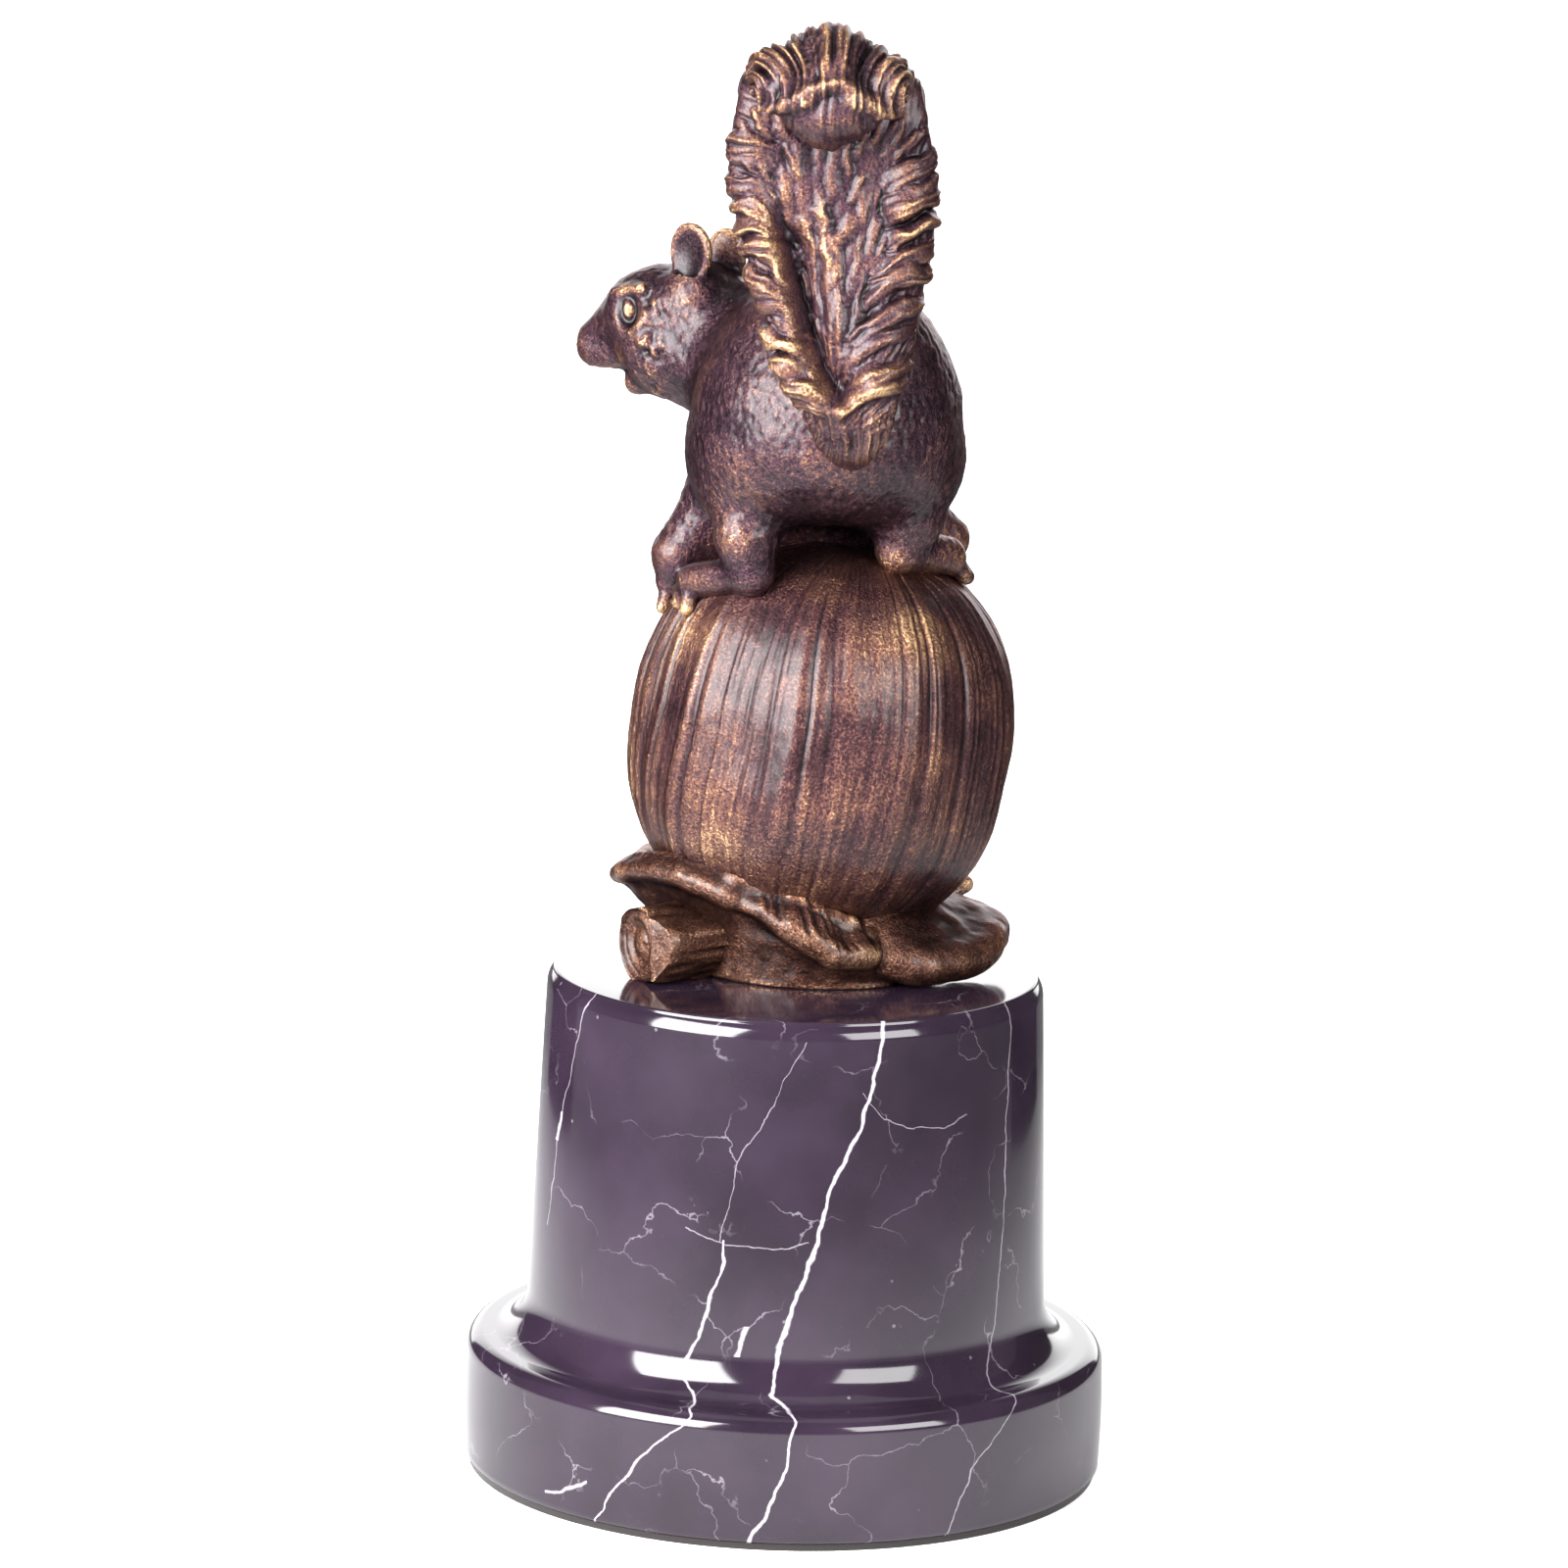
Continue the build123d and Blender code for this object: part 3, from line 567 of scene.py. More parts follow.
def marble():
    """Polished black marble: a dark clouded ground with white calcite veins and hair cracks."""
    colours = settings().stone
    material, tree, shader = new_material("polished_black_marble", Roughness=0.1, IOR=1.5)
    place = add_node(tree, "ShaderNodeTexCoord").outputs["Object"]
    axes = add_node(tree, "ShaderNodeSeparateXYZ", {"Vector": place}).outputs
    flat = add_node(tree, "ShaderNodeCombineXYZ", {"X": axes["X"], "Y": axes["Y"]})
    nearer = add_node(tree, MATH, {0: axes["Y"], 1: -1.0}, operation="MULTIPLY")
    turn = add_node(tree, MATH, {0: axes["X"], 1: nearer}, operation="ARCTAN2")
    wander = add_node(tree, NOISE, {"Vector": place, "Scale": 1 / (VEIN_PITCH * MM), "Detail": 5.0})
    swing = VEIN_SWAY * MM
    at = SimpleNamespace(
        reach=add_node(tree, "ShaderNodeVectorMath", {0: flat}, operation="LENGTH").outputs["Value"],
        bearing=add_node(tree, MATH, {0: turn, 1: 0.5 / math.pi, 2: 0.5}, operation="MULTIPLY_ADD"),
        level=add_node(tree, MATH, {0: axes["Z"], 1: VEIN_HEIGHT * MM}, operation="DIVIDE"),
        sway=add_node(tree, MATH, {0: wander, 1: 2 * swing, 2: -swing}, operation="MULTIPLY_ADD"),
        thickness=add_node(tree, NOISE, {"Vector": place, "Scale": 1 / (UNEVEN * MM), "Detail": 2.0}),
    )
    lines = [vein(tree, at, *entry) for entry in VEINS]
    # Hair cracks along the edges of warped cells, broken by the clouds
    warp = add_node(tree, NOISE, {"Vector": place, "Scale": 1 / (WARP * MM), "Detail": 6.0}).outputs["Color"]
    warp_reach = (30 * MM, 30 * MM, 30 * MM)
    shifted = add_node(
        tree, "ShaderNodeVectorMath", {0: warp, 1: warp_reach, 2: place}, operation="MULTIPLY_ADD"
    )
    cells = add_node(
        tree, "ShaderNodeTexVoronoi", {"Vector": shifted, "Scale": 1 / (CRACK_CELL * MM)},
        feature="DISTANCE_TO_EDGE",
    )
    crack = add_node(tree, MAP_RANGE, {"Value": cells, "From Min": 0.007, "From Max": 0.0, "To Max": 0.3})
    broken = add_node(tree, MAP_RANGE, {"Value": at.thickness, "From Min": 0.45, "From Max": 0.65})
    lines.append(add_node(tree, MATH, {0: crack, 1: broken}, operation="MULTIPLY"))
    flecks = add_node(tree, "ShaderNodeTexVoronoi", {"Vector": place, "Scale": 1 / (FLECK_CELL * MM)})
    lines.append(
        add_node(tree, MAP_RANGE, {"Value": flecks, "From Min": 0.05, "From Max": 0.02, "To Max": 0.22})
    )
    veins = lines[0]
    for line in lines[1:]:
        veins = add_node(tree, MATH, {0: veins, 1: line}, operation="MAXIMUM")
    cloud = add_node(tree, NOISE, {"Vector": place, "Scale": 1 / (STONE_CLOUD * MM), "Detail": 5.0})
    ground = add_node(tree, "ShaderNodeValToRGB", {"Fac": cloud})
    set_stops(ground, [(0.35, colours.ground), (0.7, colours.cloud)])
    stone = add_node(tree, "ShaderNodeMix", {0: veins, 6: ground, 7: linear(colours.vein)}, data_type="RGBA")
    tree.links.new(stone.outputs[2], shader.inputs["Base Color"])
    return material


def felt():
    """Pressed wool felt: a dull dark edge with a soft nap."""
    dark = linear(settings().stone.felt)
    return new_material("pressed_wool_felt", Base_Color=dark, Roughness=1.0, Sheen_Weight=0.3)[0]


# Socle

# Turned socle in millimetres: radii, heights, and width and height of its rounded edges
FELT_TOP, TURNED_HOLE = 1.0, 0.05
PLINTH_RADIUS, PLINTH_BEVEL, PLINTH_WALL, PLINTH_CROWN = 48.3, (0.6, 0.5), 16.0, 0.2
SHOULDER_FOOT, SHOULDER = 17.6, (2.5, 2.6)
COVE_TOP, COVE = 27.2, (5.1, 7.0)
DRUM_FOOT, DRUM_HEAD, DRUM_WALL, DRUM_EASE = 39.2, 37.4, 46.6, (0.9, 2.4)
RIM_MIDDLE, RIM_ROUND = 36.1, 0.45


def arc(middle, half_sizes, start, end, count):
    """Points of radius and height on an oval arc from one angle to another."""
    return [(middle[0] + half_sizes[0] * math.cos(t), middle[1] + half_sizes[1] * math.sin(t))
            for t in np.linspace(start, end, count)]


class FIGURE_OT_socle(bpy.types.Operator):
    """Turn the marble socle with its soft polished edges, and give the felt its material."""

    bl_idname = "figure.socle"
    bl_label = "Socle"

    def execute(self, context):
        foot, quarter = FELT_TOP + PLINTH_BEVEL[1], math.pi / 2
        drum_top = COVE_TOP + DRUM_WALL
        outline = [(TURNED_HOLE, FELT_TOP), (40.0, FELT_TOP)]
        outline += [(PLINTH_RADIUS - PLINTH_BEVEL[0], FELT_TOP), (PLINTH_RADIUS, foot)]
        outline += [(PLINTH_RADIUS + PLINTH_CROWN * math.sin(math.pi * t), foot + PLINTH_WALL * t)
                    for t in np.linspace(0.05, 0.95, 12)]
        outline += arc((PLINTH_RADIUS - SHOULDER[0], SHOULDER_FOOT), SHOULDER, 0.0, quarter, 16)
        outline += arc((DRUM_FOOT + COVE[0], COVE_TOP), COVE, -quarter, -2 * quarter, 30)
        outline += [(DRUM_FOOT + (DRUM_HEAD - DRUM_FOOT) * t, COVE_TOP + DRUM_WALL * t)
                    for t in np.linspace(0.05, 1.0, 20)]
        outline += [(DRUM_HEAD - DRUM_EASE[0] * t ** 2, drum_top + DRUM_EASE[1] * t)
                    for t in np.linspace(0.08, 1.0, 20)]
        outline += arc((RIM_MIDDLE, MARBLE_TOP - RIM_ROUND), (RIM_ROUND, RIM_ROUND), 0.4, quarter, 8)
        outline += [(radius, MARBLE_TOP) for radius in (30.0, 15.0, TURNED_HOLE)]
        radius, height = (column[:, None] for column in np.array(outline).T)
        columns = 384
        turn = np.linspace(0, 2 * math.pi, columns, endpoint=False)[None, :]
        points = np.stack(
            [radius * np.cos(turn), radius * np.sin(turn), height + 0 * turn], axis=-1
        ).reshape(-1, 3)
        quads = grid_quads(len(outline), columns)
        mesh_piece("socle", points, quads, np.zeros(len(points)), marble(), "marble_socle", slot="marble")
        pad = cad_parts["felt_pad"]
        pad.data.materials.clear()
        pad.data.materials.append(felt())
        return {"FINISHED"}


# Nut

# Flat sides of the nut: bearing of the middle and half width, in radians, and depth in millimetres
FACETS = ((-2.1, 0.31), (-0.78, 0.34), (0.1, 0.4), (1.0, 0.4), (1.9, 0.4), (2.75, 0.36))
FACET_DEPTH = 0.9
# Raised ribs: bearing and half width in radians, height in millimetres
RIBS = ((-2.36, 0.07, 0.4), (-2.6, 0.06, 0.4), (-0.95, 0.07, 0.3))
# Depth of the grooves by bearing: deep ones at the left, a calm band in front, softer ones at the right
GROOVE_BANDS = ((-4.0, -2.25, 1.3), (-2.25, -1.1, 0.4), (-1.1, 0.0, 0.65), (2.2, 4.0, 1.3))
# Ranges of half width of the grooves, and of their ends from the top, in radians
GROOVE_WIDTHS, GROOVE_STARTS, GROOVE_ENDS = (0.010, 0.030), (0.1, 1.1), (1.7, 2.9)
# Places rubbed thin by hands: bearing, angle from the top, half width and half height in radians, amount
RUBBED_SPOTS = (
    (-1.65, 2.32, 0.2, 0.2, 0.26), (-1.35, 2.45, 0.22, 0.14, 0.22), (-1.02, 0.76, 0.22, 0.12, 0.24),
    (-1.1, 1.45, 0.3, 0.5, 0.1), (-2.1, 2.1, 0.14, 0.25, 0.14), (1.4, 1.9, 0.4, 0.4, 0.16),
)


def nut_wall(ring, up):
    """Distance from the nut's middle to its wall, by sine and cosine of the angle from its top."""
    nut = settings().nut
    wide, high = ring / (nut.radius / MM), np.abs(up / (nut.half_height / MM))
    return (wide ** NUT_POWER + high ** NUT_POWER) ** (-1 / NUT_POWER)


def over_nut(bearing, polar, height):
    """Point over the nut by bearing and angle from its top, in degrees."""
    ring, up, turn = math.sin(math.radians(polar)), math.cos(math.radians(polar)), math.radians(bearing)
    flat = NUT_SIDE * math.cos(turn) + np.array([0.0, math.sin(turn), 0.0])
    return NUT + (flat * ring + NUT_AXIS * up) * (nut_wall(ring, up) + height)


def nut_relief(turned, polar):
    """Grooves, ribs and flat sides of the nut, in millimetres."""
    nut = settings().nut
    chance = np.random.default_rng(7)
    relief = np.zeros(turned.shape)
    for k in range(nut.grooves):
        centre = -math.pi + 2 * math.pi * (k + chance.uniform(-0.45, 0.45)) / nut.grooves
        wide = chance.uniform(*GROOVE_WIDTHS)
        deep = nut.groove_depth / MM * chance.uniform(0.15, 1.0) ** 1.5
        deep *= next((share for low, high, share in GROOVE_BANDS if low < centre < high), 1.0)
        start, end = chance.uniform(*GROOVE_STARTS), chance.uniform(*GROOVE_ENDS)
        span = smoothstep(start - 0.25, start + 0.25, polar) * (1 - smoothstep(end - 0.3, end + 0.3, polar))
        relief -= deep * bell(turn_from(centre, turned) / wide) * span
    for centre, wide, high in RIBS:
        relief += high * bell(turn_from(centre, turned) / wide) * np.sin(polar) ** 2
    for centre, half_width in FACETS:
        apart = np.abs(turn_from(centre, turned)) / half_width
        bowl = np.where(apart < 1, apart ** 2 - 0.5, 0.5 * bell((apart - 1) / 0.3))
        relief += FACET_DEPTH * bowl * np.sin(polar) ** 1.5
    return relief


class FIGURE_OT_nut(bpy.types.Operator):
    """Build the ribbed hazelnut."""

    bl_idname = "figure.nut"
    bl_label = "Nut"

    def execute(self, context):
        rows, columns = 136, 730
        polar = np.linspace(0.02, math.pi - 0.02, rows)[:, None]
        bearing = np.linspace(-math.pi, math.pi, columns, endpoint=False)[None, :]
        ring, up = np.sin(polar), np.cos(polar)
        flat = np.cos(bearing)[..., None] * NUT_SIDE + np.sin(bearing)[..., None] * np.array([0.0, 1.0, 0.0])
        out = (ring[..., None] * flat + up[..., None] * NUT_AXIS).reshape(-1, 3)
        around = np.broadcast_arrays(2.0 * np.cos(bearing), 2.0 * np.sin(bearing), 1.4 * polar)
        wiggle = noise(np.stack(around, -1).reshape(-1, 3), 1.0, 3).reshape(rows, columns)
        turned = bearing + 0.05 * wiggle
        fibres = hair(bearing * 46 + 2.0 * wiggle, polar * 2.2, 14)
        relief = nut_relief(turned, polar) + 0.045 * fibres * ring
        points = NUT + (nut_wall(ring, up) + relief).reshape(-1, 1) * out
        lumps = noise(points, 8.0, 11) * 0.25 + noise(points, 1.3, 12) * 0.05
        points = points + lumps[:, None] * out
        for cap in (slice(0, columns), slice(-columns, None)):
            points[cap] = points[cap].mean(0) + 0.02 * (points[cap] - points[cap].mean(0))
        quads = outward(points, grid_quads(rows, columns), out)
        wear = wear_and_painted_light_of(points, quads, (0.25, 8, 0.13), (0.75, 40, 0.5))
        for spot, tilt, wide, high, amount in RUBBED_SPOTS:
            wear += (amount * bell(turn_from(spot, turned) / wide) * bell((polar - tilt) / high)).ravel()
        shade = bronze("cast_bronze_brown_patina", settings().bronze.warm, 1.25, -0.08)
        mesh_piece("nut", points, quads, wear, shade, "nut_shell")
        return {"FINISHED"}


# Husk and twig

def root_of(lip, reach, over, half):
    """Root line of a leaf below its lip."""
    return [(bearing, reach, over, half) for bearing, *_ in lip]


# Lines of the husk leaves: bearing in degrees, reach from the nut's middle, height over the marble and
# half thickness in millimetres
LEFT_LIP = [(189, 30.4, 13.6, 1.5), (197, 29.3, 15.2, 1.8), (208, 27.9, 16.3, 2.0),
            (220, 26.2, 16.2, 2.0), (231, 24.9, 15.0, 1.8), (241, 24.0, 13.4, 1.3)]
LEFT_RIM = [(190, 29.6, 15.2, 0.7), (198, 28.8, 17.2, 0.8), (209, 27.2, 18.2, 0.8),
            (221, 25.4, 18.0, 0.8), (232, 24.2, 17.0, 0.8), (242, 23.4, 16.2, 1.3)]
FRONT_LIP = [(243, 24.0, 13.2, 1.1), (251, 24.2, 12.0, 1.3), (259, 24.4, 10.4, 1.4),
             (267, 24.4, 8.4, 1.6), (276, 24.0, 6.3, 1.9), (290, 22.2, 5.6, 1.5)]
FRONT_RIM = [(245, 23.6, 15.6, 0.7), (254, 22.8, 14.6, 0.7), (264, 22.0, 13.2, 0.7),
             (276, 21.4, 11.4, 0.7), (286, 20.8, 9.4, 0.7), (294, 20.0, 7.4, 0.7)]
FRONT_WALL = [(222, 19.6, 6.5, 2.2), (240, 20.2, 9.0, 2.0), (258, 20.6, 7.5, 2.0),
              (278, 20.4, 4.5, 2.2), (300, 19.4, 3.5, 2.4)]
RIGHT_LIP = [(299, 20.4, 4.2, 2.4), (313, 23.2, 3.6, 2.6), (330, 24.8, 3.6, 2.7),
             (346, 26.4, 4.2, 2.5), (359, 26.8, 5.8, 1.9), (369, 24.6, 7.6, 1.3)]
BACK_LIP = [(382, 24.2, 10.4, 1.3), (404, 26.4, 9.6, 1.8), (424, 28.6, 10.6, 1.9),
            (440, 26.6, 12.2, 1.7), (456, 24.4, 11.6, 1.4), (472, 25.0, 10.0, 1.3)]
FAR_LIP = [(112, 25.2, 9.8, 1.3), (128, 27.6, 10.0, 1.8), (142, 29.0, 11.4, 2.0),
           (156, 28.0, 12.8, 1.8), (170, 27.0, 13.2, 1.4), (182, 28.6, 13.4, 1.4)]
# Leaves: line of the lip, line of the root, and thickness between them by that of the lip
LEAVES = (
    (LEFT_LIP, root_of(LEFT_LIP, 16.0, 5.0, 3.6), 0.7),
    (FRONT_LIP, root_of(FRONT_LIP, 15.5, 4.0, 2.2), 0.7),
    (RIGHT_LIP, root_of(RIGHT_LIP, 16.0, 8.6, 3.4), 1.0),
    (BACK_LIP, root_of(BACK_LIP, 15.0, 4.0, 3.2), 0.8),
    (FAR_LIP, root_of(FAR_LIP, 15.0, 4.6, 3.2), 0.8),
    (LEFT_RIM, LEFT_LIP, 0.7),
    (FRONT_RIM, FRONT_LIP, 0.7),
    (FRONT_WALL, root_of(FRONT_WALL, 18.4, 0.5, 2.6), 1.0),
)
HUSK_NODES = ("husk_cup", "husk_leaf_left", "husk_leaf_front", "husk_leaf_right", "husk_leaf_back",
              "husk_leaf_far")
# Gap that keeps husk and twig off the marble
SEAT = 0.02


def by_nut(bearing, reach, over):
    """Point by bearing and reach from the nut's middle and height over the marble."""
    turn = math.radians(bearing)
    return np.array([NUT[0] + reach * math.cos(turn), NUT[1] + reach * math.sin(turn), MARBLE_TOP + over])


def finer(line):
    """A line of a leaf with four steps for one."""
    places = np.linspace(0, len(line) - 1, 4 * len(line) - 3)
    return np.stack([np.interp(places, range(len(line)), column) for column in np.array(line).T], 1)


def leaf(clay, lip, root, body):
    """Leaf with a round lip, filled down to its root."""
    lip, root = finer(lip), finer(root)
    for k, (edge, foot) in enumerate(zip(lip, root)):
        clay.limb(by_nut(*edge[:3]), body * edge[3], by_nut(*foot[:3]), foot[3], 0.9)
        if k:
            clay.limb(by_nut(*lip[k - 1][:3]), lip[k - 1][3], by_nut(*edge[:3]), edge[3], 0.7)


class FIGURE_OT_husk(bpy.types.Operator):
    """Build the husk with its thick leaves round the foot of the nut."""

    bl_idname = "figure.husk"
    bl_label = "Husk"

    def execute(self, context):
        clay = Clay((-34, -26, 75.2), (38, 42, 97), 0.36)
        # Low cup under the nut, then the leaves
        clay.oval((NUT[0], NUT[1], MARBLE_TOP + 1.5), np.eye(3), (18.4, 17.0, 9.0), (17.4, 16.4, 6.0), 2.0)
        for lip, root, body in LEAVES:
            leaf(clay, lip, root, body)
        level = clay.low[2] + clay.step * np.arange(clay.shape[2])
        clay.field = np.maximum(clay.field, (MARBLE_TOP + SEAT - level).astype(np.float32))
        points, quads, _ = clay.skin()
        points = relax(points, edges_of(quads), 3)
        normals = normals_of(points, quads)
        bearing = np.degrees(np.arctan2(points[:, 1] - NUT[1], points[:, 0] - NUT[0])) % 360
        over = points[:, 2] - MARBLE_TOP
        # Veins slant down the front leaf, and all walls are lumpy as modelled in wax
        face = smoothstep(246, 254, bearing) * (1 - smoothstep(288, 296, bearing))
        face = face * smoothstep(0.2, 0.6, normals[:, 2])
        veins = hair(bearing / 2.4 + 0.5 * over, over / 5.0, 21) * face
        lumps = noise(points, 6.0, 22) * 0.6 + noise(points, 2.6, 23) * 0.22 + noise(points, 1.2, 24) * 0.08
        points = points + normals * ((lumps + 0.16 * veins) * smoothstep(0.0, 1.2, over))[:, None]
        wear = wear_and_painted_light_of(points, quads, (0.3, 8, 0.1), (0.7, 40, 0.6))
        shade = bronze("cast_bronze_rubbed_leaves", settings().bronze.brown, 1.2, -0.06)
        mesh_piece("husk", points, quads, wear, shade, *HUSK_NODES)
        return {"FINISHED"}


# Twig in millimetres: its way, root, length, radii at root and cut, and share of its rows that is bark
TWIG_RUN, TWIG_SIDE = np.array([-0.809, -0.588, 0.0]), np.array([0.588, -0.809, 0.0])
TWIG_ROOT, TWIG_LENGTH = np.array([-4.0, 0.8, MARBLE_TOP + 5.6]), 23.6
TWIG_RADIUS, TWIG_FLARE, TWIG_BARK = 4.9, 1.2, 0.55


class FIGURE_OT_twig(bpy.types.Operator):
    """Build the cut twig that lies on the marble."""

    bl_idname = "figure.twig"
    bl_label = "Twig"

    def execute(self, context):
        columns, rows = 220, 190
        turn = np.linspace(0, 2 * math.pi, columns, endpoint=False)[None, :]
        part = np.linspace(0, 1, rows)[:, None]
        along = np.minimum(part / TWIG_BARK, 1.0) * TWIG_LENGTH
        cut_part = np.clip((part - TWIG_BARK) / (1 - TWIG_BARK), 0.0, 1.0)
        share = 1.0 - 0.995 * cut_part + 0 * turn - 0.04 * bell((part - TWIG_BARK) / 0.02)
        # Two cuts: a hollowed one with growth rings to the left, a plain bevel to the right, a ridge between
        face = smoothstep(TWIG_BARK, TWIG_BARK + 0.02, part)
        across, upward = share * np.cos(turn), share * np.sin(turn)
        right = across + 0.1 * upward - 0.12
        bend = np.sqrt((across + 0.3) ** 2 + (0.8 * upward + 0.05) ** 2)
        hollow = smoothstep(0.36, 0.12, right) * smoothstep(0.97, 0.8, share)
        rings = hollow * (-1.0 + 0.24 * np.sin(15 * bend + 0.8 * np.sin(2 * turn + 0.5)))
        bevel = 0.4 * bell((right - 0.36) / 0.12) - 1.3 * np.clip((right - 0.4) / 0.5, 0, 1) ** 1.5
        bark = hair(turn * 2.6, along / 7, 31) * 0.24 * (1 - face)
        lobes = 1 + 0.06 * np.sin(3 * turn + 0.7) + 0.05 * np.sin(2 * turn + 1.9)
        radial = (TWIG_RADIUS + TWIG_FLARE * along / TWIG_LENGTH) * share * lobes + bark
        run = along + face * rings + bevel * smoothstep(TWIG_LENGTH - 4, TWIG_LENGTH, along)
        points = TWIG_ROOT + run[..., None] * TWIG_RUN
        points = points + (radial * np.cos(turn))[..., None] * TWIG_SIDE
        points = points + (radial * np.sin(turn))[..., None] * UP
        quads = grid_quads(rows, columns)
        points = relax(points.reshape(-1, 3), edges_of(quads), 6)
        points = points + (0.16 * noise(points, 2.6, 33) + 0.05 * noise(points, 0.9, 34))[:, None] * TWIG_RUN
        middle = points.reshape(rows, columns, 3).mean(1).repeat(columns, 0)
        on_bark = np.arange(len(points)) < TWIG_BARK * len(points)
        quads = outward(points, quads, (points - middle) * on_bark[:, None])
        points[:, 2] = np.maximum(points[:, 2], MARBLE_TOP + SEAT)
        wear = wear_and_painted_light_of(points, quads, (0.4, 10, 0.12), (0.6, 50, 0.5))
        shade = bronze("cast_bronze_rubbed_bark", settings().bronze.brown, 1.2, 0.06)
        mesh_piece("twig", points, quads, wear, shade, "twig_stub")
        return {"FINISHED"}


# Squirrel

# Castings of the squirrel, in the order of their labels in the clay
CASTINGS = ("squirrel_body", "leg_hind_left", "leg_hind_right", "leg_fore_left", "leg_fore_right",
            "squirrel_head", "ear_left", "ear_right")
BODY, HIND_LEFT, HIND_RIGHT, FORE_LEFT, FORE_RIGHT, HEAD, EAR_LEFT, EAR_RIGHT = range(len(CASTINGS))
# Ears: place in the head, side of the head, half width and label
EARS = (((-6.2, 4.5, 10.6), 1, 3.9, EAR_LEFT), ((-7.6, -4.6, 8.8), -1, 3.2, EAR_RIGHT))
# Places on the left of the head: front of the eyeball, and points along the mouth
EYE = (3.0, 6.4, 2.4)
MOUTH = ((10.6, 1.4, -7.2), (9.0, 2.2, -7.4), (7.4, 2.8, -7.4), (5.8, 3.6, -7.2), (4.4, 4.8, -6.8))
# Painted highlights on each side of the head, on the eye and on the brow, and a paler cheek: place, radius
# and amount
HEAD_HIGHLIGHTS_AND_PALE_CHEEKS = (((3.0, 6.8, 2.4), 1.3, 0.5), ((4.0, 5.8, 5.4), 2.2, 0.3), ((3.6, 5.0, -4.0), 3.0, 0.3))
# Hind legs: label, thigh and hock from the rump, heel and ball over the nut, radii and softness of the
# three limbs between them, radii and height of the toes, and where the toes end
HIND_LEGS = (
    (HIND_LEFT, (-10.6, -3.6, -7.4), (-11.3, -8.4, -15.2), (-132.8, 41.5, 2.3), (-158, 49.5, 1.9),
     ((6.8, 4.3, 3.0), (4.3, 3.2, 2.5), (3.0, 2.6, 1.5)), (1.7, 1.15, 0.9),
     ((-175, 51), (-169, 54), (-162, 56), (-154, 56.5))),
    (HIND_RIGHT, (10.8, 0.0, -8.0), (12.4, -1.4, -13.0), (-56, 20.0, 2.6), (-8, 24.5, 2.6),
     ((7.2, 5.0, 3.0), (4.6, 3.3, 2.0), (3.2, 3.0, 1.5)), (1.9, 1.3, 1.1),
     ((0, 31.5), (8, 33), (16, 33), (24, 31.5))),
)
# Forelegs: label, shoulder and elbow from the rump, wrist and paw over the nut, how far the wrist and the
# upper arm turn in, radius where the arm leans on the nut, and fingers
FORELEGS = (
    (FORE_LEFT, (-12.0, 13.6, -2.0), (-15.2, 9.6, -11.4), (177, 50.5, 5.0), (177, 54.5, 1.8), 1.6, 3.2,
     ((170, 60), (175.5, 61.5), (181, 61))),
    (FORE_RIGHT, (3.6, 17.4, -2.0), (8.8, 19.0, -10.6), (52, 36, 5.6), (52, 40, 1.8), 0.0, 0.5,
     ((46, 46), (52, 47.5), (58, 46.5))),
)
# Place over the nut that the forelegs lean on
ARM_REST = (172, 44, 1.0)


def in_head(front, left, up):
    """Point in the head's own directions."""
    return SKULL + HEAD_FRONT * front + HEAD_LEFT * left + UP * up


def from_rump(*place):
    """Point by its place from the middle of the rump."""
    return RUMP + np.array(place)


def add_trunk(clay):
    """Rump, haunches, chest and belly."""
    upright = np.eye(3)
    clay.oval(RUMP, upright, (20.3, 20.3, 24.0), (20.3, 20.3, 14.0), 3.0, BODY)
    for side, forward in ((-1, -0.5), (1, 2.6)):
        run = np.array([0.2 * side, 0.97, -0.1])
        across = np.array([0.97, -0.2 * side, 0.0])
        axes = np.stack([across, run, np.cross(across, run)])
        clay.oval(from_rump(10.4 * side, forward, -5.6), axes, (9.9, 14, 9.9), None, 3.5, BODY)
    clay.oval(from_rump(-4.6, 14.0, 1.6), upright, (13.2, 12.6, 14.5), (13.2, 12.6, 11.9), 4.5, BODY)
    clay.oval(from_rump(-1.0, 11.0, -13.5), upright, (15.0, 9.0, 9.0), (14.0, 8.0, 9.0), 3.0, BODY)


def add_legs(clay):
    """Hind legs with toes, and forelegs with fingers."""
    for label, thigh, hock, heel, ball, limbs, (toe_root, toe_tip, lift), toes in HIND_LEGS:
        joints = [from_rump(*thigh), from_rump(*hock), over_nut(*heel), over_nut(*ball)]
        for start, end, (start_radius, end_radius, soft) in zip(joints, joints[1:], limbs):
            clay.limb(start, start_radius, end, end_radius, soft, label)
        for bearing, polar in toes:
            clay.limb(joints[-1], toe_root, over_nut(bearing, polar, lift), toe_tip, 0.5, label)
    for label, shoulder, elbow, wrist, paw, inward, leaning, fingers in FORELEGS:
        elbow, wrist, paw = from_rump(*elbow), over_nut(*wrist) + inward * ACROSS, over_nut(*paw)
        clay.limb(from_rump(*shoulder), 6.8, elbow, 5.2, 3.0, label)
        clay.limb(elbow, 5.2, wrist, 4.0, 2.0, label)
        clay.limb(wrist, 3.8, paw, 2.4, 1.2, label)
        upper_arm = elbow + np.array([3.0 * inward, -1.5, -2.0])
        clay.limb(upper_arm, 3.6, over_nut(*ARM_REST), leaning, 2.0, label)
        for bearing, polar in fingers:
            clay.limb(paw, 1.5, over_nut(bearing, polar, 0.7), 1.0, 0.4, label)


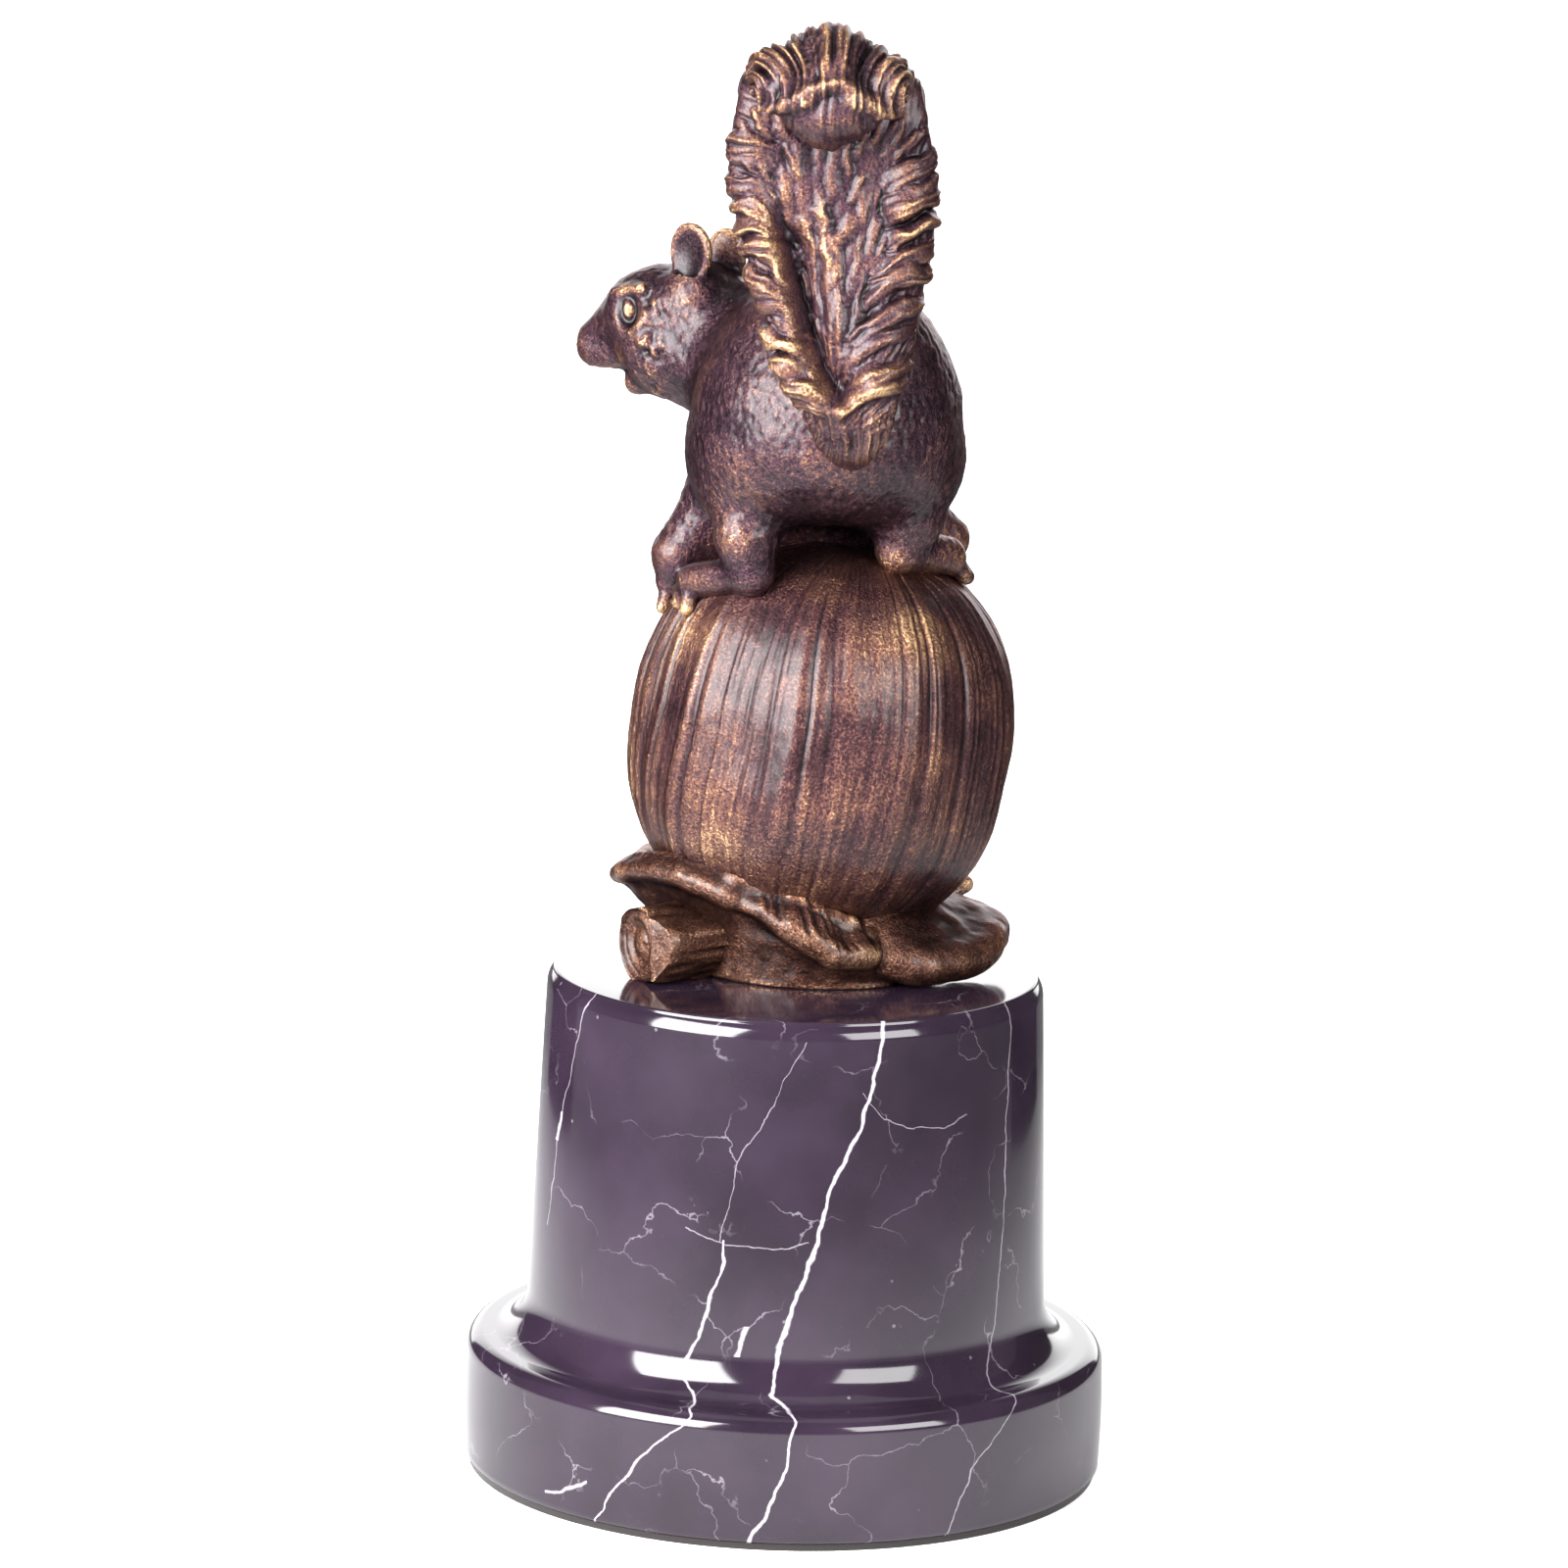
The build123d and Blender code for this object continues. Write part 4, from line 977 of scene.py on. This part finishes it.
def add_head(clay):
    """Neck, skull, muzzle, jaw, cheeks, brows, eyes, nostrils and mouth."""
    axes = np.stack([HEAD_FRONT, HEAD_LEFT, np.cross(HEAD_FRONT, HEAD_LEFT)])
    clay.limb(SKULL + np.array([2.0, -0.5, -2.9]), 8.8, from_rump(-10.1, 10.0, 9.2), 11.6, 3.0, HEAD)
    clay.oval(in_head(0, 0, 0.3), axes, (9.3, 7.6, 8.2), (9.3, 7.6, 8.4), 2.0, HEAD)
    clay.limb(in_head(4.0, 0, 0.0), 6.7, in_head(10.8, 0, -3.0), 3.2, 1.8, HEAD)
    clay.limb(in_head(5.5, 0, 2.2), 3.4, in_head(11.3, 0, -2.5), 2.8, 1.5, HEAD)
    clay.oval(in_head(-6.0, 1.0, 2.6), axes, (6.5, 6.8, 6.6), (6.0, 6.4, 6.6), 2.0, HEAD)
    clay.limb(in_head(-1.5, 0, -7.2), 4.2, in_head(4.2, 0, -9.0), 2.2, 0.8, HEAD)
    for side in (-1, 1):
        clay.oval(in_head(-1.4, 4.2 * side, -3.6), axes, (6.0, 4.1, 5.6), None, 2.0, HEAD)
        clay.oval(in_head(10.6, 1.4 * side, -3.9), axes, (2.8, 1.8, 2.3), (3.6, 1.9, 2.6), 1.8, HEAD)
        clay.oval(in_head(7.4, 1.8 * side, -4.4), axes, (4.0, 2.3, 2.4), (4.4, 2.5, 2.6), 1.8, HEAD)
        clay.limb(in_head(6.2, 4.6 * side, 4.6), 0.9, in_head(1.0, 6.5 * side, 5.6), 0.8, 1.4, HEAD)
        clay.oval(in_head(3.0, 7.6 * side, 2.4), axes, (1.9, 1.7, 2.6), None, 0.9, HEAD, carve=True)
        clay.oval(in_head(3.0, 5.3 * side, 2.4), axes, (1.2, 1.9, 2.0), None, 0.25, HEAD)
        clay.oval(in_head(13.4, 1.5 * side, -2.8), axes, (0.7, 0.5, 0.45), None, 0.25, HEAD, carve=True)
        for front, left, up in MOUTH:
            clay.oval(in_head(front, left * side, up), axes, (1.5, 2.2, 0.7), None, 0.3, HEAD, carve=True)


def add_ears(clay):
    """Ears, cupped to the side."""
    for place, side, wide, label in EARS:
        centre = in_head(*place)
        facing = HEAD_LEFT * 0.95 * side + HEAD_FRONT * 0.2
        facing /= np.linalg.norm(facing)
        cup = np.stack([facing, np.cross(UP, facing), UP])
        clay.limb(centre - 6.0 * UP - facing, 3.6, centre - 3.2 * UP - 0.6 * facing, 2.4, 1.8, label)
        clay.oval(centre, cup, (1.1, wide, 4.6), (1.5, wide, 4.6), 0.6, label)
        wide -= 0.6
        clay.oval(centre + 1.2 * facing, cup, (1.1, wide, 4.0), (1.2, wide, 4.0), 0.3, label, carve=True)


class FIGURE_OT_squirrel(bpy.types.Operator):
    """Build the skin of the squirrel: body, legs, head and ears."""

    bl_idname = "figure.squirrel"
    bl_label = "Squirrel"

    def execute(self, context):
        fur = settings().fur
        clay = Clay((-39, -24, 127), (29, 34, 191), fur.mesh_step / MM)
        for add in (add_trunk, add_legs, add_head, add_ears):
            add(clay)
        points, quads, labels = clay.skin()
        points = relax(points, edges_of(quads), 2)
        normals = normals_of(points, quads)

        def away(place):
            """Distance of the points from a place in the head."""
            return np.linalg.norm(points - in_head(*place), axis=1)

        # Fine fur combed down the body, tufts back over the cheeks, smooth muzzle, eyes and ears
        width, reach, depth = fur.strand_width / MM, fur.strand_length / MM, fur.strand_depth / MM
        on_head = smoothstep(7.0, 13.0, 12.0 - (points - SKULL) @ np.array([1.0, -0.3, 0.0]))
        down, back = np.array([0.05, -0.3, -1.0]), np.array([0.8, -0.4, -0.7])
        way = down * (1 - on_head[:, None]) + back * on_head[:, None]
        lick = streaks(points, normals, way, width, reach, 41)
        tuft = streaks(points, normals, way, width * 1.9, 0.7 * reach, 42)
        stipple = noise(points, 0.95, 44) + 0.7 * noise(points, 0.6, 45)
        front = (points - SKULL) @ HEAD_FRONT
        muzzle = on_head * smoothstep(0.5, 4.0, front)
        cheek = on_head * smoothstep(2.0, -1.5, front) * smoothstep(5.5, 2.5, points[:, 2] - SKULL[2])
        clear = 1 - smoothstep(143, 138, points[:, 2]) * 0.7
        for side in (1, -1):
            clear *= smoothstep(2.4, 3.8, away((EYE[0], EYE[1] * side, EYE[2])))
        for place, *_ in EARS:
            clear *= smoothstep(3.8, 5.4, away(place))
        relief = depth * (lick + 1.6 * stipple) * (1 - 0.4 * muzzle) + 0.28 * tuft * cheek
        lumps = noise(points, 5.5, 43) * 0.22 * (1 - muzzle)
        points = points + normals * ((relief + lumps) * clear)[:, None]
        # Painted highlights on the eyes and brows, paler cheeks, and a dark muzzle
        wear = wear_and_painted_light_of(points, quads, (0.35, 8, 0.12), (0.65, 60, 0.6)) - 0.13 * muzzle + 0.06 * cheek
        for (ahead, left, up), size, amount in HEAD_HIGHLIGHTS_AND_PALE_CHEEKS:
            for side in (-1, 1):
                wear += amount * smoothstep(size, 0.4 * size, away((ahead, left * side, up)))
        shade = bronze("cast_bronze_chased_fur", settings().bronze.patina, 1.4, -0.09)
        skins(CASTINGS, points, quads, labels[quads[:, 0]], wear, shade)
        return {"FINISHED"}


# Tail

# Tail up the back: place from the rump, half width and half thickness
PLUME_STATIONS = (
    (3.5, -16.2, -2.4, 0.8, 0.9), (3.5, -19.2, -1.0, 2.7, 2.2), (3.5, -21.6, 1.6, 4.9, 3.4),
    (3.2, -23.0, 5.0, 6.5, 3.9), (3.2, -23.2, 9.4, 7.5, 4.0), (2.4, -22.0, 16.2, 10.0, 4.6),
    (1.5, -20.2, 23.4, 11.7, 5.0), (0.9, -19.2, 30.2, 13.6, 5.0), (-0.3, -18.6, 37.0, 14.7, 4.9),
    (-0.6, -18.6, 42.5, 14.7, 4.6), (-0.7, -19.2, 47.0, 14.0, 4.2),
)
# Rolled tip: angle round the roll in degrees, reach from its middle, half width and half thickness
ROLL_STATIONS = (
    (-8, 7.1, 13.4, 4.0), (20, 6.9, 12.9, 3.8), (50, 6.6, 12.2, 3.5), (80, 6.4, 11.8, 3.3),
    (105, 6.2, 11.6, 3.2), (130, 6.1, 11.5, 3.2), (155, 6.1, 11.2, 3.2), (180, 6.1, 10.6, 3.4),
    (205, 6.0, 9.6, 3.4), (230, 5.6, 8.0, 3.1), (255, 4.9, 6.0, 2.5), (280, 3.9, 3.6, 1.4),
)
ROLL_MIDDLE = (-0.9, -26.5, 51.8)
# Roll angle given to the plume, and rows that the middle line is smoothed over
PLUME_ANGLE, SMOOTHING = -40.0, 29
# Ropes of locks down both rims of the tail: height and place across
LEFT_ROPE = ((160, 2.0), (166.7, 0.6), (171.7, -3.0), (177.2, -5.2), (182.6, -6.4), (189.8, -8.6),
             (197, -10.4), (204, -10.8))
RIGHT_ROPE = ((160, 7.0), (167, 7.6), (174, 9.6), (180, 11.2), (186, 12.6), (192, 13.6), (200, 13.4))
LEFT_LOCKS, RIGHT_LOCKS, STRANDS = 12, 9, 170
# Distance from the left rope to the crease beside it, and where the curl is cut from the plume
CREASE, CURL_CUT = 4.0, 3.0


def tail_line(rows):
    """Middle line in rows: run along it, place, sizes and angle of the roll, and run at the curl's cut."""
    stations = [(*station, PLUME_ANGLE) for station in PLUME_STATIONS]
    for angle, reach, wide, thick in ROLL_STATIONS:
        turn = math.radians(angle)
        x, y, z = ROLL_MIDDLE
        stations.append((x, y + reach * math.cos(turn), z + reach * math.sin(turn), wide, thick, angle))
    knots = np.array(stations)
    chord = np.concatenate([[0], np.cumsum(np.linalg.norm(np.diff(knots[:, :3], axis=0), axis=1))])
    run = np.linspace(0, chord[-1], rows)
    kernel = np.hanning(SMOOTHING) / np.hanning(SMOOTHING).sum()
    columns = [np.interp(run, chord, column) for column in knots.T]
    padded = [np.pad(column, SMOOTHING // 2, mode="reflect", reflect_type="odd") for column in columns]
    line = np.stack([np.convolve(column, kernel, "valid") for column in padded], axis=1)
    return run, line, chord[len(PLUME_STATIONS) - 1] + CURL_CUT


def rope_at(rope, level):
    """Place across of a rope of locks at a height."""
    return np.interp(level, *zip(*rope))


def lock_relief(x, z, locks):
    """Height of overlapping round locks seen on the x z plane, and places across and along the topmost."""
    height, across, along = np.zeros_like(x), np.zeros_like(x), np.zeros_like(x)
    for number, (x0, z0, x1, z1, half, high, arch) in enumerate(locks):
        length = math.hypot(x1 - x0, z1 - z0)
        cos, sin = (x1 - x0) / length, (z1 - z0) / length
        t = ((x - x0) * cos + (z - z0) * sin) / length
        d = (z - z0) * cos - (x - x0) * sin - arch * (1 - (2 * t - 1) ** 2)
        value = high * np.sqrt(round_bump(d / half)) * np.clip(4 * t * (1 - t), 0, 1) ** 0.6
        top = value > height
        height = np.where(top, value, height)
        across = np.where(top, d + 11.3 * number, across)
        along = np.where(top, t * length, along)
    return height, across, along


def scatter_locks(chance):
    """Locks as two ends, half width, height and arch: short rolls down the left rope, slanting ones right."""
    tail = settings().tail
    pitch, depth = tail.lock_pitch / MM, tail.lock_depth / MM
    locks = []
    for k in range(LEFT_LOCKS):
        level = 165.4 + pitch * (k + chance.uniform(-0.35, 0.35))
        middle = rope_at(LEFT_ROPE, level)
        calm = 1 - 0.5 * smoothstep(188, 198, level)
        locks.append((
            middle - chance.uniform(4.0, 5.0), level - chance.uniform(-0.6, 1.2),
            middle + chance.uniform(3.0, 4.4), level - chance.uniform(0.8, 3.4),
            pitch * chance.uniform(0.38, 0.6), calm * depth * chance.uniform(0.7, 1.3),
            chance.uniform(1.0, 3.2),
        ))
    for k in range(RIGHT_LOCKS):
        level = 167.4 + 1.15 * pitch * (k + chance.uniform(-0.2, 0.2))
        middle = rope_at(RIGHT_ROPE, level)
        steep = chance.uniform(2.0, 4.6)
        locks.append((
            middle - chance.uniform(3.6, 5.6), level - steep, middle + 4.6, level + 0.3 * steep,
            pitch * chance.uniform(0.36, 0.62), depth * chance.uniform(0.55, 1.25), chance.uniform(0.6, 1.4),
        ))
    return locks


def scatter_strands(chance):
    """Strands between the ropes, fanning out from the foot of the crease, in the same form as the locks."""
    strands = []
    for _ in range(STRANDS):
        level = chance.uniform(167, 207)
        start = chance.uniform(rope_at(LEFT_ROPE, level) + 1.5, rope_at(RIGHT_ROPE, level) - 1.5)
        lean = math.atan2(2.4 * (start - 2.6), level - 158) + chance.normal(0, 0.2)
        length = chance.uniform(3.5, 7.5)
        strands.append((
            start, level, start + length * math.sin(lean), level + length * math.cos(lean),
            chance.uniform(0.45, 0.95), chance.uniform(0.3, 0.75), chance.uniform(-0.7, 0.7),
        ))
    return strands


def plume_face(at, strand):
    """Relief of the plume seen from behind: a rope of locks, a crease and a slope up to the right rim."""
    x, z, wave, ripple = at.x, at.z, at.wave, at.ripple
    below_roll = 1 - smoothstep(-30, 20, at.angle)
    near = smoothstep(-0.1, 0.4, -at.v) * below_roll
    free = smoothstep(165, 170, z) * near
    left_rope = rope_at(LEFT_ROPE, z)
    crease = left_rope + CREASE
    fade = 1 - smoothstep(187, 197, z)
    groove = fade * bell((x - crease) / np.where(x < crease, 1.2, 3.2))
    rope = round_bump((x - left_rope) / 3.8) * (0.3 + 0.7 * fade)
    rim = round_bump((x - rope_at(RIGHT_ROPE, z)) / 3.6)
    relief = free * (1.3 * rope - 3.0 * groove + 1.0 * rim)
    chance = np.random.default_rng(5)
    locks, strands = scatter_locks(chance), scatter_strands(chance)
    height, across, along = lock_relief(x + 1.0 * wave + 0.4 * ripple, z + 1.3 * wave + 0.6 * ripple, locks)
    combed = lock_relief(x + 0.5 * ripple, z + 0.5 * ripple, strands)[0]
    around = smoothstep(-0.45, 0.3, -at.v) * below_roll * smoothstep(163, 166, z)
    on_lock = smoothstep(0.2, 0.6, height) * around
    relief = relief + height * around + 0.3 * strand * hair(across / 0.7, along / 4.0, 63) * on_lock
    # Hair lines fan out from the foot of the crease, and hang straight in the tongue below
    fan = np.arctan2(x - 3.7 - 0.05 * (z - 168), np.maximum(z - 160.5, 2.0)) * 62 + 0.9 * wave + 0.5 * ripple
    comb = hair((0.5 * x + 0.86 * z) / 0.6 + 1.0 * wave, (0.86 * x - 0.5 * z) / 4.0, 62)
    upper_left = smoothstep(189, 195, z) * smoothstep(2.0, -1.5, x - crease)
    lines = hair(fan, z / 5.0, 61) * (1 - upper_left) + comb * upper_left
    relief = relief + near * (1 - on_lock) * (combed * free + 0.35 * strand * lines)
    tongue = hair((x - 5.6) / (0.6 + 0.03 * np.maximum(z - 157, 0)) + 0.6 * wave, z / 5.0, 64)
    tongue = 0.6 * strand * tongue * smoothstep(157, 161, z) + 0.4 * wave + 0.3
    return relief + smoothstep(167.5, 165.0, z) * near * tongue


def plume_back(at, strand):
    """Relief of the plume's back: long locks running up to the roll."""
    phase = at.run / 10 + 1.1 * np.abs(at.u) + 0.5 * at.wave
    sizes = np.random.default_rng(3).uniform(0.5, 1.1, 64)
    lap = sizes[np.floor(phase).astype(int) % 64]
    lap = lap * smoothstep(0, 0.8, phase % 1) * (1 - smoothstep(0.85, 1, phase % 1))
    lines = hair(at.u * at.wide / 0.7 + 1.5 * at.wave, at.run / 8, 65)
    return at.outer * (1 - at.roll) * (1.0 * lap + 0.7 * strand * lines)


def rolled_tip(at, strand):
    """Relief of the roll: strands run over the top, draw together and end in a thick lip like a roof."""
    u, angle = at.u, at.angle
    draw = 1 - 0.4 * smoothstep(70, 165, angle)
    over = hair(u * at.wide / (0.5 * draw) + 0.9 * at.wave, at.run / 6, 66)
    apart = u - 0.09
    edge = 170 + np.where(apart < 0, 34, 46) * np.abs(apart) ** 1.1 + 5 * at.wave + 3 * at.ripple
    flap = 1 - smoothstep(edge - 2, edge + 4, angle)
    lip = bell((angle - edge + 9) / 8)
    relief = strand * over * (1.1 * flap * (1 - 0.8 * lip) + 0.25) + 0.5 * flap + 0.9 * lip
    lobes = 1.2 * bell((u - 0.72) / 0.2) * bell((angle - 135) / 32)
    lobes = lobes + 0.9 * bell((u + 0.8) / 0.1) * bell((angle - 115) / 45)
    hollow = 1.3 * bell((np.abs(u) - 0.42) / 0.16) * bell((angle - 140) / 28)
    return at.outer * at.roll * (relief + lobes - hollow + 0.4 * at.wave + 0.15 * at.ripple)


class FIGURE_OT_tail(bpy.types.Operator):
    """Build the tail plume with its locks and the rolled tip."""

    bl_idname = "figure.tail"
    bl_label = "Tail"

    def execute(self, context):
        rows, columns = 520, 256
        run, line, cut = tail_line(rows)
        heading = np.gradient(line[:, :3], axis=0) * np.array([0.0, 1.0, 1.0])
        heading /= np.linalg.norm(heading, axis=1)[:, None]
        far = np.stack([np.zeros(rows), heading[:, 2], -heading[:, 1]], axis=1)
        turn = np.linspace(0, 2 * math.pi, columns, endpoint=False)[None, :]
        u, v = (np.sign(wave) * np.abs(wave) ** 0.9 for wave in (np.cos(turn), np.sin(turn)))
        wide, thick, angle = line[:, 3:4], line[:, 4:5], line[:, 5:6]
        roll = smoothstep(0, 70, angle)
        place = line[:, None, :3] + (u * wide)[..., None] * ACROSS
        place = place + (v * thick - 4.4 * u ** 2 * roll)[..., None] * far[:, None, :]
        points = (RUMP + place).reshape(-1, 3)
        x, z, wave, ripple = (
            values.reshape(rows, columns)
            for values in (points[:, 0], points[:, 2], noise(points, 4.0, 52), noise(points, 1.8, 53))
        )
        at = SimpleNamespace(
            x=x, z=z, u=u, v=v, run=run[:, None], wide=wide, angle=angle, roll=roll, wave=wave, ripple=ripple,
            outer=smoothstep(-0.1, 0.4, v),
        )
        strand = settings().tail.strand_depth / MM
        relief = plume_face(at, strand) + plume_back(at, strand) + rolled_tip(at, strand)
        quads = outward(points, grid_quads(rows, columns), points - RUMP - np.repeat(line[:, :3], columns, 0))
        thin = np.repeat(smoothstep(1.2, 3.0, line[:, 4]), columns)
        points = points + normals_of(points, quads) * (relief.ravel() * thin)[:, None]
        points = relax(points, edges_of(quads), 1)
        wear = wear_and_painted_light_of(points, quads, (0.3, 10, 0.16), (0.7, 90, 0.9))
        shade = bronze("cast_bronze_chased_locks", settings().bronze.patina, 1.1, 0.0)
        kind = (quads.min(1) // columns >= np.searchsorted(run, cut)).astype(int)
        skins(("tail_plume", "tail_curl"), points, quads, kind, wear, shade)
        return {"FINISHED"}


# Stage

# Lamps: setting of the power, spot, aim and size in metres
LAMPS = (
    ("key", (-0.73, -0.68, 0.46), (0, 0, 0.14), (0.8, 0.8)),
    ("fill", (0.64, -0.72, 0.42), (0, 0, 0.12), (0.6, 0.5)),
    ("top", (0.0, 0.1, 1.2), (0, 0.0001, 0.1), (1.0, 1.0)),
)
# Black cards: bearing in degrees from the camera, then distance, height, and width and height of a card
CARDS = (("card_left", -128), ("card_right", 128))
CARD_REACH, CARD_LEVEL, CARD_SIZE = 0.27, 0.16, (0.15, 0.32, 1, 1)
# Camera fitted to the round edges of the socle: place in metres, angles in degrees, lens in millimetres
CAMERA_SPOT = (0.0, -1.0716, 0.31797)
CAMERA_PITCH, CAMERA_ROLL = math.radians(11.245), math.radians(1.741)
CAMERA_LENS, CAMERA_SENSOR, CAMERA_SHIFT = 167.4, 36.0, -0.01118


def stand(side, up, away, spot):
    """Matrix of something at spot with these directions as its own axes."""
    return Matrix([(side[k], up[k], away[k], spot[k]) for k in range(3)] + [(0, 0, 0, 1)])


def turn_to(spot, aim):
    """Matrix that stands at spot with its back to aim."""
    away = np.array(spot) - np.array(aim)
    away = away / np.linalg.norm(away)
    side = np.cross(UP, away) if abs(away[2]) < 0.99 else ACROSS
    side = side / np.linalg.norm(side)
    return stand(side, np.cross(away, side), away, spot)


def white_paper():
    """Matt white paper: it fades to white for the camera, and the polish shows it only close by."""
    stage = settings().stage
    material, tree, shader = new_material(
        "matt_white_paper", Roughness=0.9, Specular_IOR_Level=0.1, Emission_Color=(1, 1, 1, 1)
    )
    place = add_node(tree, "ShaderNodeTexCoord").outputs["Object"]
    far = add_node(tree, "ShaderNodeVectorMath", {0: place}, operation="LENGTH").outputs["Value"]
    path = add_node(tree, "ShaderNodeLightPath").outputs
    # The paper glows a little for the camera, more with distance
    fading = {"Value": far, "From Min": 0.05, "From Max": 0.4, "To Min": 0.45, "To Max": 1.0}
    glow = add_node(tree, MAP_RANGE, fading)
    glow = add_node(tree, MATH, {0: glow, 1: path["Is Camera Ray"]}, operation="MULTIPLY")
    tree.links.new(glow.outputs[0], shader.inputs["Emission Strength"])
    # Past its edge the polish shows the dim studio
    past = add_node(tree, MAP_RANGE, {"Value": far, "From Min": 0.14, "From Max": 0.3, "To Max": 0.85})
    past = add_node(tree, MATH, {0: past, 1: path["Is Glossy Ray"]}, operation="MULTIPLY")
    shades = {0: past, 6: linear(stage.floor), 7: (stage.dim, stage.dim, stage.dim, 1)}
    shown = add_node(tree, "ShaderNodeMix", shades, data_type="RGBA")
    tree.links.new(shown.outputs[2], shader.inputs["Base Color"])
    return material


def white_studio():
    """World: white for the camera, a bright backdrop behind the figure and a dark room in front."""
    world = bpy.data.worlds.new("white_studio")
    world.use_nodes = True
    tree = world.node_tree
    tree.nodes.clear()
    around = add_node(tree, "ShaderNodeTexCoord").outputs["Generated"]
    way = add_node(tree, "ShaderNodeSeparateXYZ", {"Vector": around}).outputs["Y"]
    backdrop = settings().stage.backdrop
    room = add_node(
        tree, MAP_RANGE,
        {"Value": way, "From Min": 0.7, "From Max": 0.93, "To Min": 0.16, "To Max": backdrop},
        interpolation_type="SMOOTHSTEP",
    )
    seen = add_node(tree, "ShaderNodeLightPath").outputs["Is Camera Ray"]
    level = add_node(tree, "ShaderNodeMix", {0: seen, 2: room, 3: 1.0})
    light = add_node(tree, "ShaderNodeBackground", {"Color": (1, 1, 1, 1), "Strength": level})
    add_node(tree, "ShaderNodeOutputWorld", {"Surface": light})
    return world


class FIGURE_OT_stage(bpy.types.Operator):
    """Set up floor, lamps, background and camera."""

    bl_idname = "figure.stage"
    bl_label = "Stage"

    def execute(self, context):
        scene = context.scene
        stage = settings().stage
        bpy.ops.mesh.primitive_plane_add(size=8.0, location=(0, 0, 0))
        floor = context.active_object
        floor.name = "floor"
        floor.data.materials.append(white_paper())
        for name, spot, aim, size in LAMPS:
            lamp = bpy.data.lights.new(name, "AREA")
            lamp.shape = "RECTANGLE"
            lamp.size, lamp.size_y = size
            lamp.energy = getattr(stage, name + "_power")
            holder = bpy.data.objects.new(name, lamp)
            holder.matrix_world = turn_to(spot, aim)
            holder.visible_camera = False
            scene.collection.objects.link(holder)
        # Black cards beside the socle, seen only in the polish as dark bands
        black = new_material("black_card", Base_Color=linear(stage.card), Roughness=1.0)[0]
        for name, bearing in CARDS:
            turn = math.radians(bearing)
            bpy.ops.mesh.primitive_plane_add(size=1.0)
            card = context.active_object
            card.name = name
            spot = (CARD_REACH * math.sin(turn), -CARD_REACH * math.cos(turn), CARD_LEVEL)
            card.matrix_world = turn_to(spot, (0, 0, CARD_LEVEL)) @ Matrix.Diagonal(CARD_SIZE)
            card.data.materials.append(black)
            for ray in ("camera", "diffuse", "shadow", "transmission"):
                setattr(card, "visible_" + ray, False)
        scene.world = white_studio()
        camera = bpy.data.cameras.new("camera")
        camera.lens = CAMERA_LENS
        camera.sensor_width = CAMERA_SENSOR
        camera.shift_x = CAMERA_SHIFT
        camera.clip_start, camera.clip_end = 0.05, 50.0
        holder = bpy.data.objects.new("camera", camera)
        back = np.array([0, -math.cos(CAMERA_PITCH), math.sin(CAMERA_PITCH)])
        lift = np.array([0, math.sin(CAMERA_PITCH), math.cos(CAMERA_PITCH)])
        right = ACROSS * math.cos(CAMERA_ROLL) + lift * math.sin(CAMERA_ROLL)
        up = lift * math.cos(CAMERA_ROLL) - ACROSS * math.sin(CAMERA_ROLL)
        holder.matrix_world = stand(right, up, back, CAMERA_SPOT)
        scene.collection.objects.link(holder)
        scene.camera = holder
        scene.view_settings.view_transform = "Standard"
        return {"FINISHED"}


STEPS = (FIGURE_OT_socle, FIGURE_OT_nut, FIGURE_OT_husk, FIGURE_OT_twig, FIGURE_OT_squirrel, FIGURE_OT_tail,
         FIGURE_OT_stage)


class FIGURE_PT_panel(bpy.types.Panel):
    """Sidebar list of the figure's building steps."""

    bl_idname = "FIGURE_PT_panel"
    bl_label = "Figure"
    bl_space_type = "VIEW_3D"
    bl_region_type = "UI"
    bl_category = "Figure"

    def draw(self, context):
        for step in STEPS:
            self.layout.operator(step.bl_idname)


CLASSES = (NutSettings, FurSettings, TailSettings, BronzeSettings, StoneSettings, StageSettings,
           FigureSettings, *STEPS, FIGURE_PT_panel)


def register():
    for item in CLASSES:
        bpy.utils.register_class(item)
    bpy.types.Scene.figure = PointerProperty(type=FigureSettings)


def unregister():
    del bpy.types.Scene.figure
    for item in reversed(CLASSES):
        bpy.utils.unregister_class(item)


def main():
    register()
    bpy.ops.figure.socle()
    bpy.ops.figure.nut()
    bpy.ops.figure.husk()
    bpy.ops.figure.twig()
    bpy.ops.figure.squirrel()
    bpy.ops.figure.tail()
    bpy.ops.figure.stage()


if __name__ == "__main__":
    main()
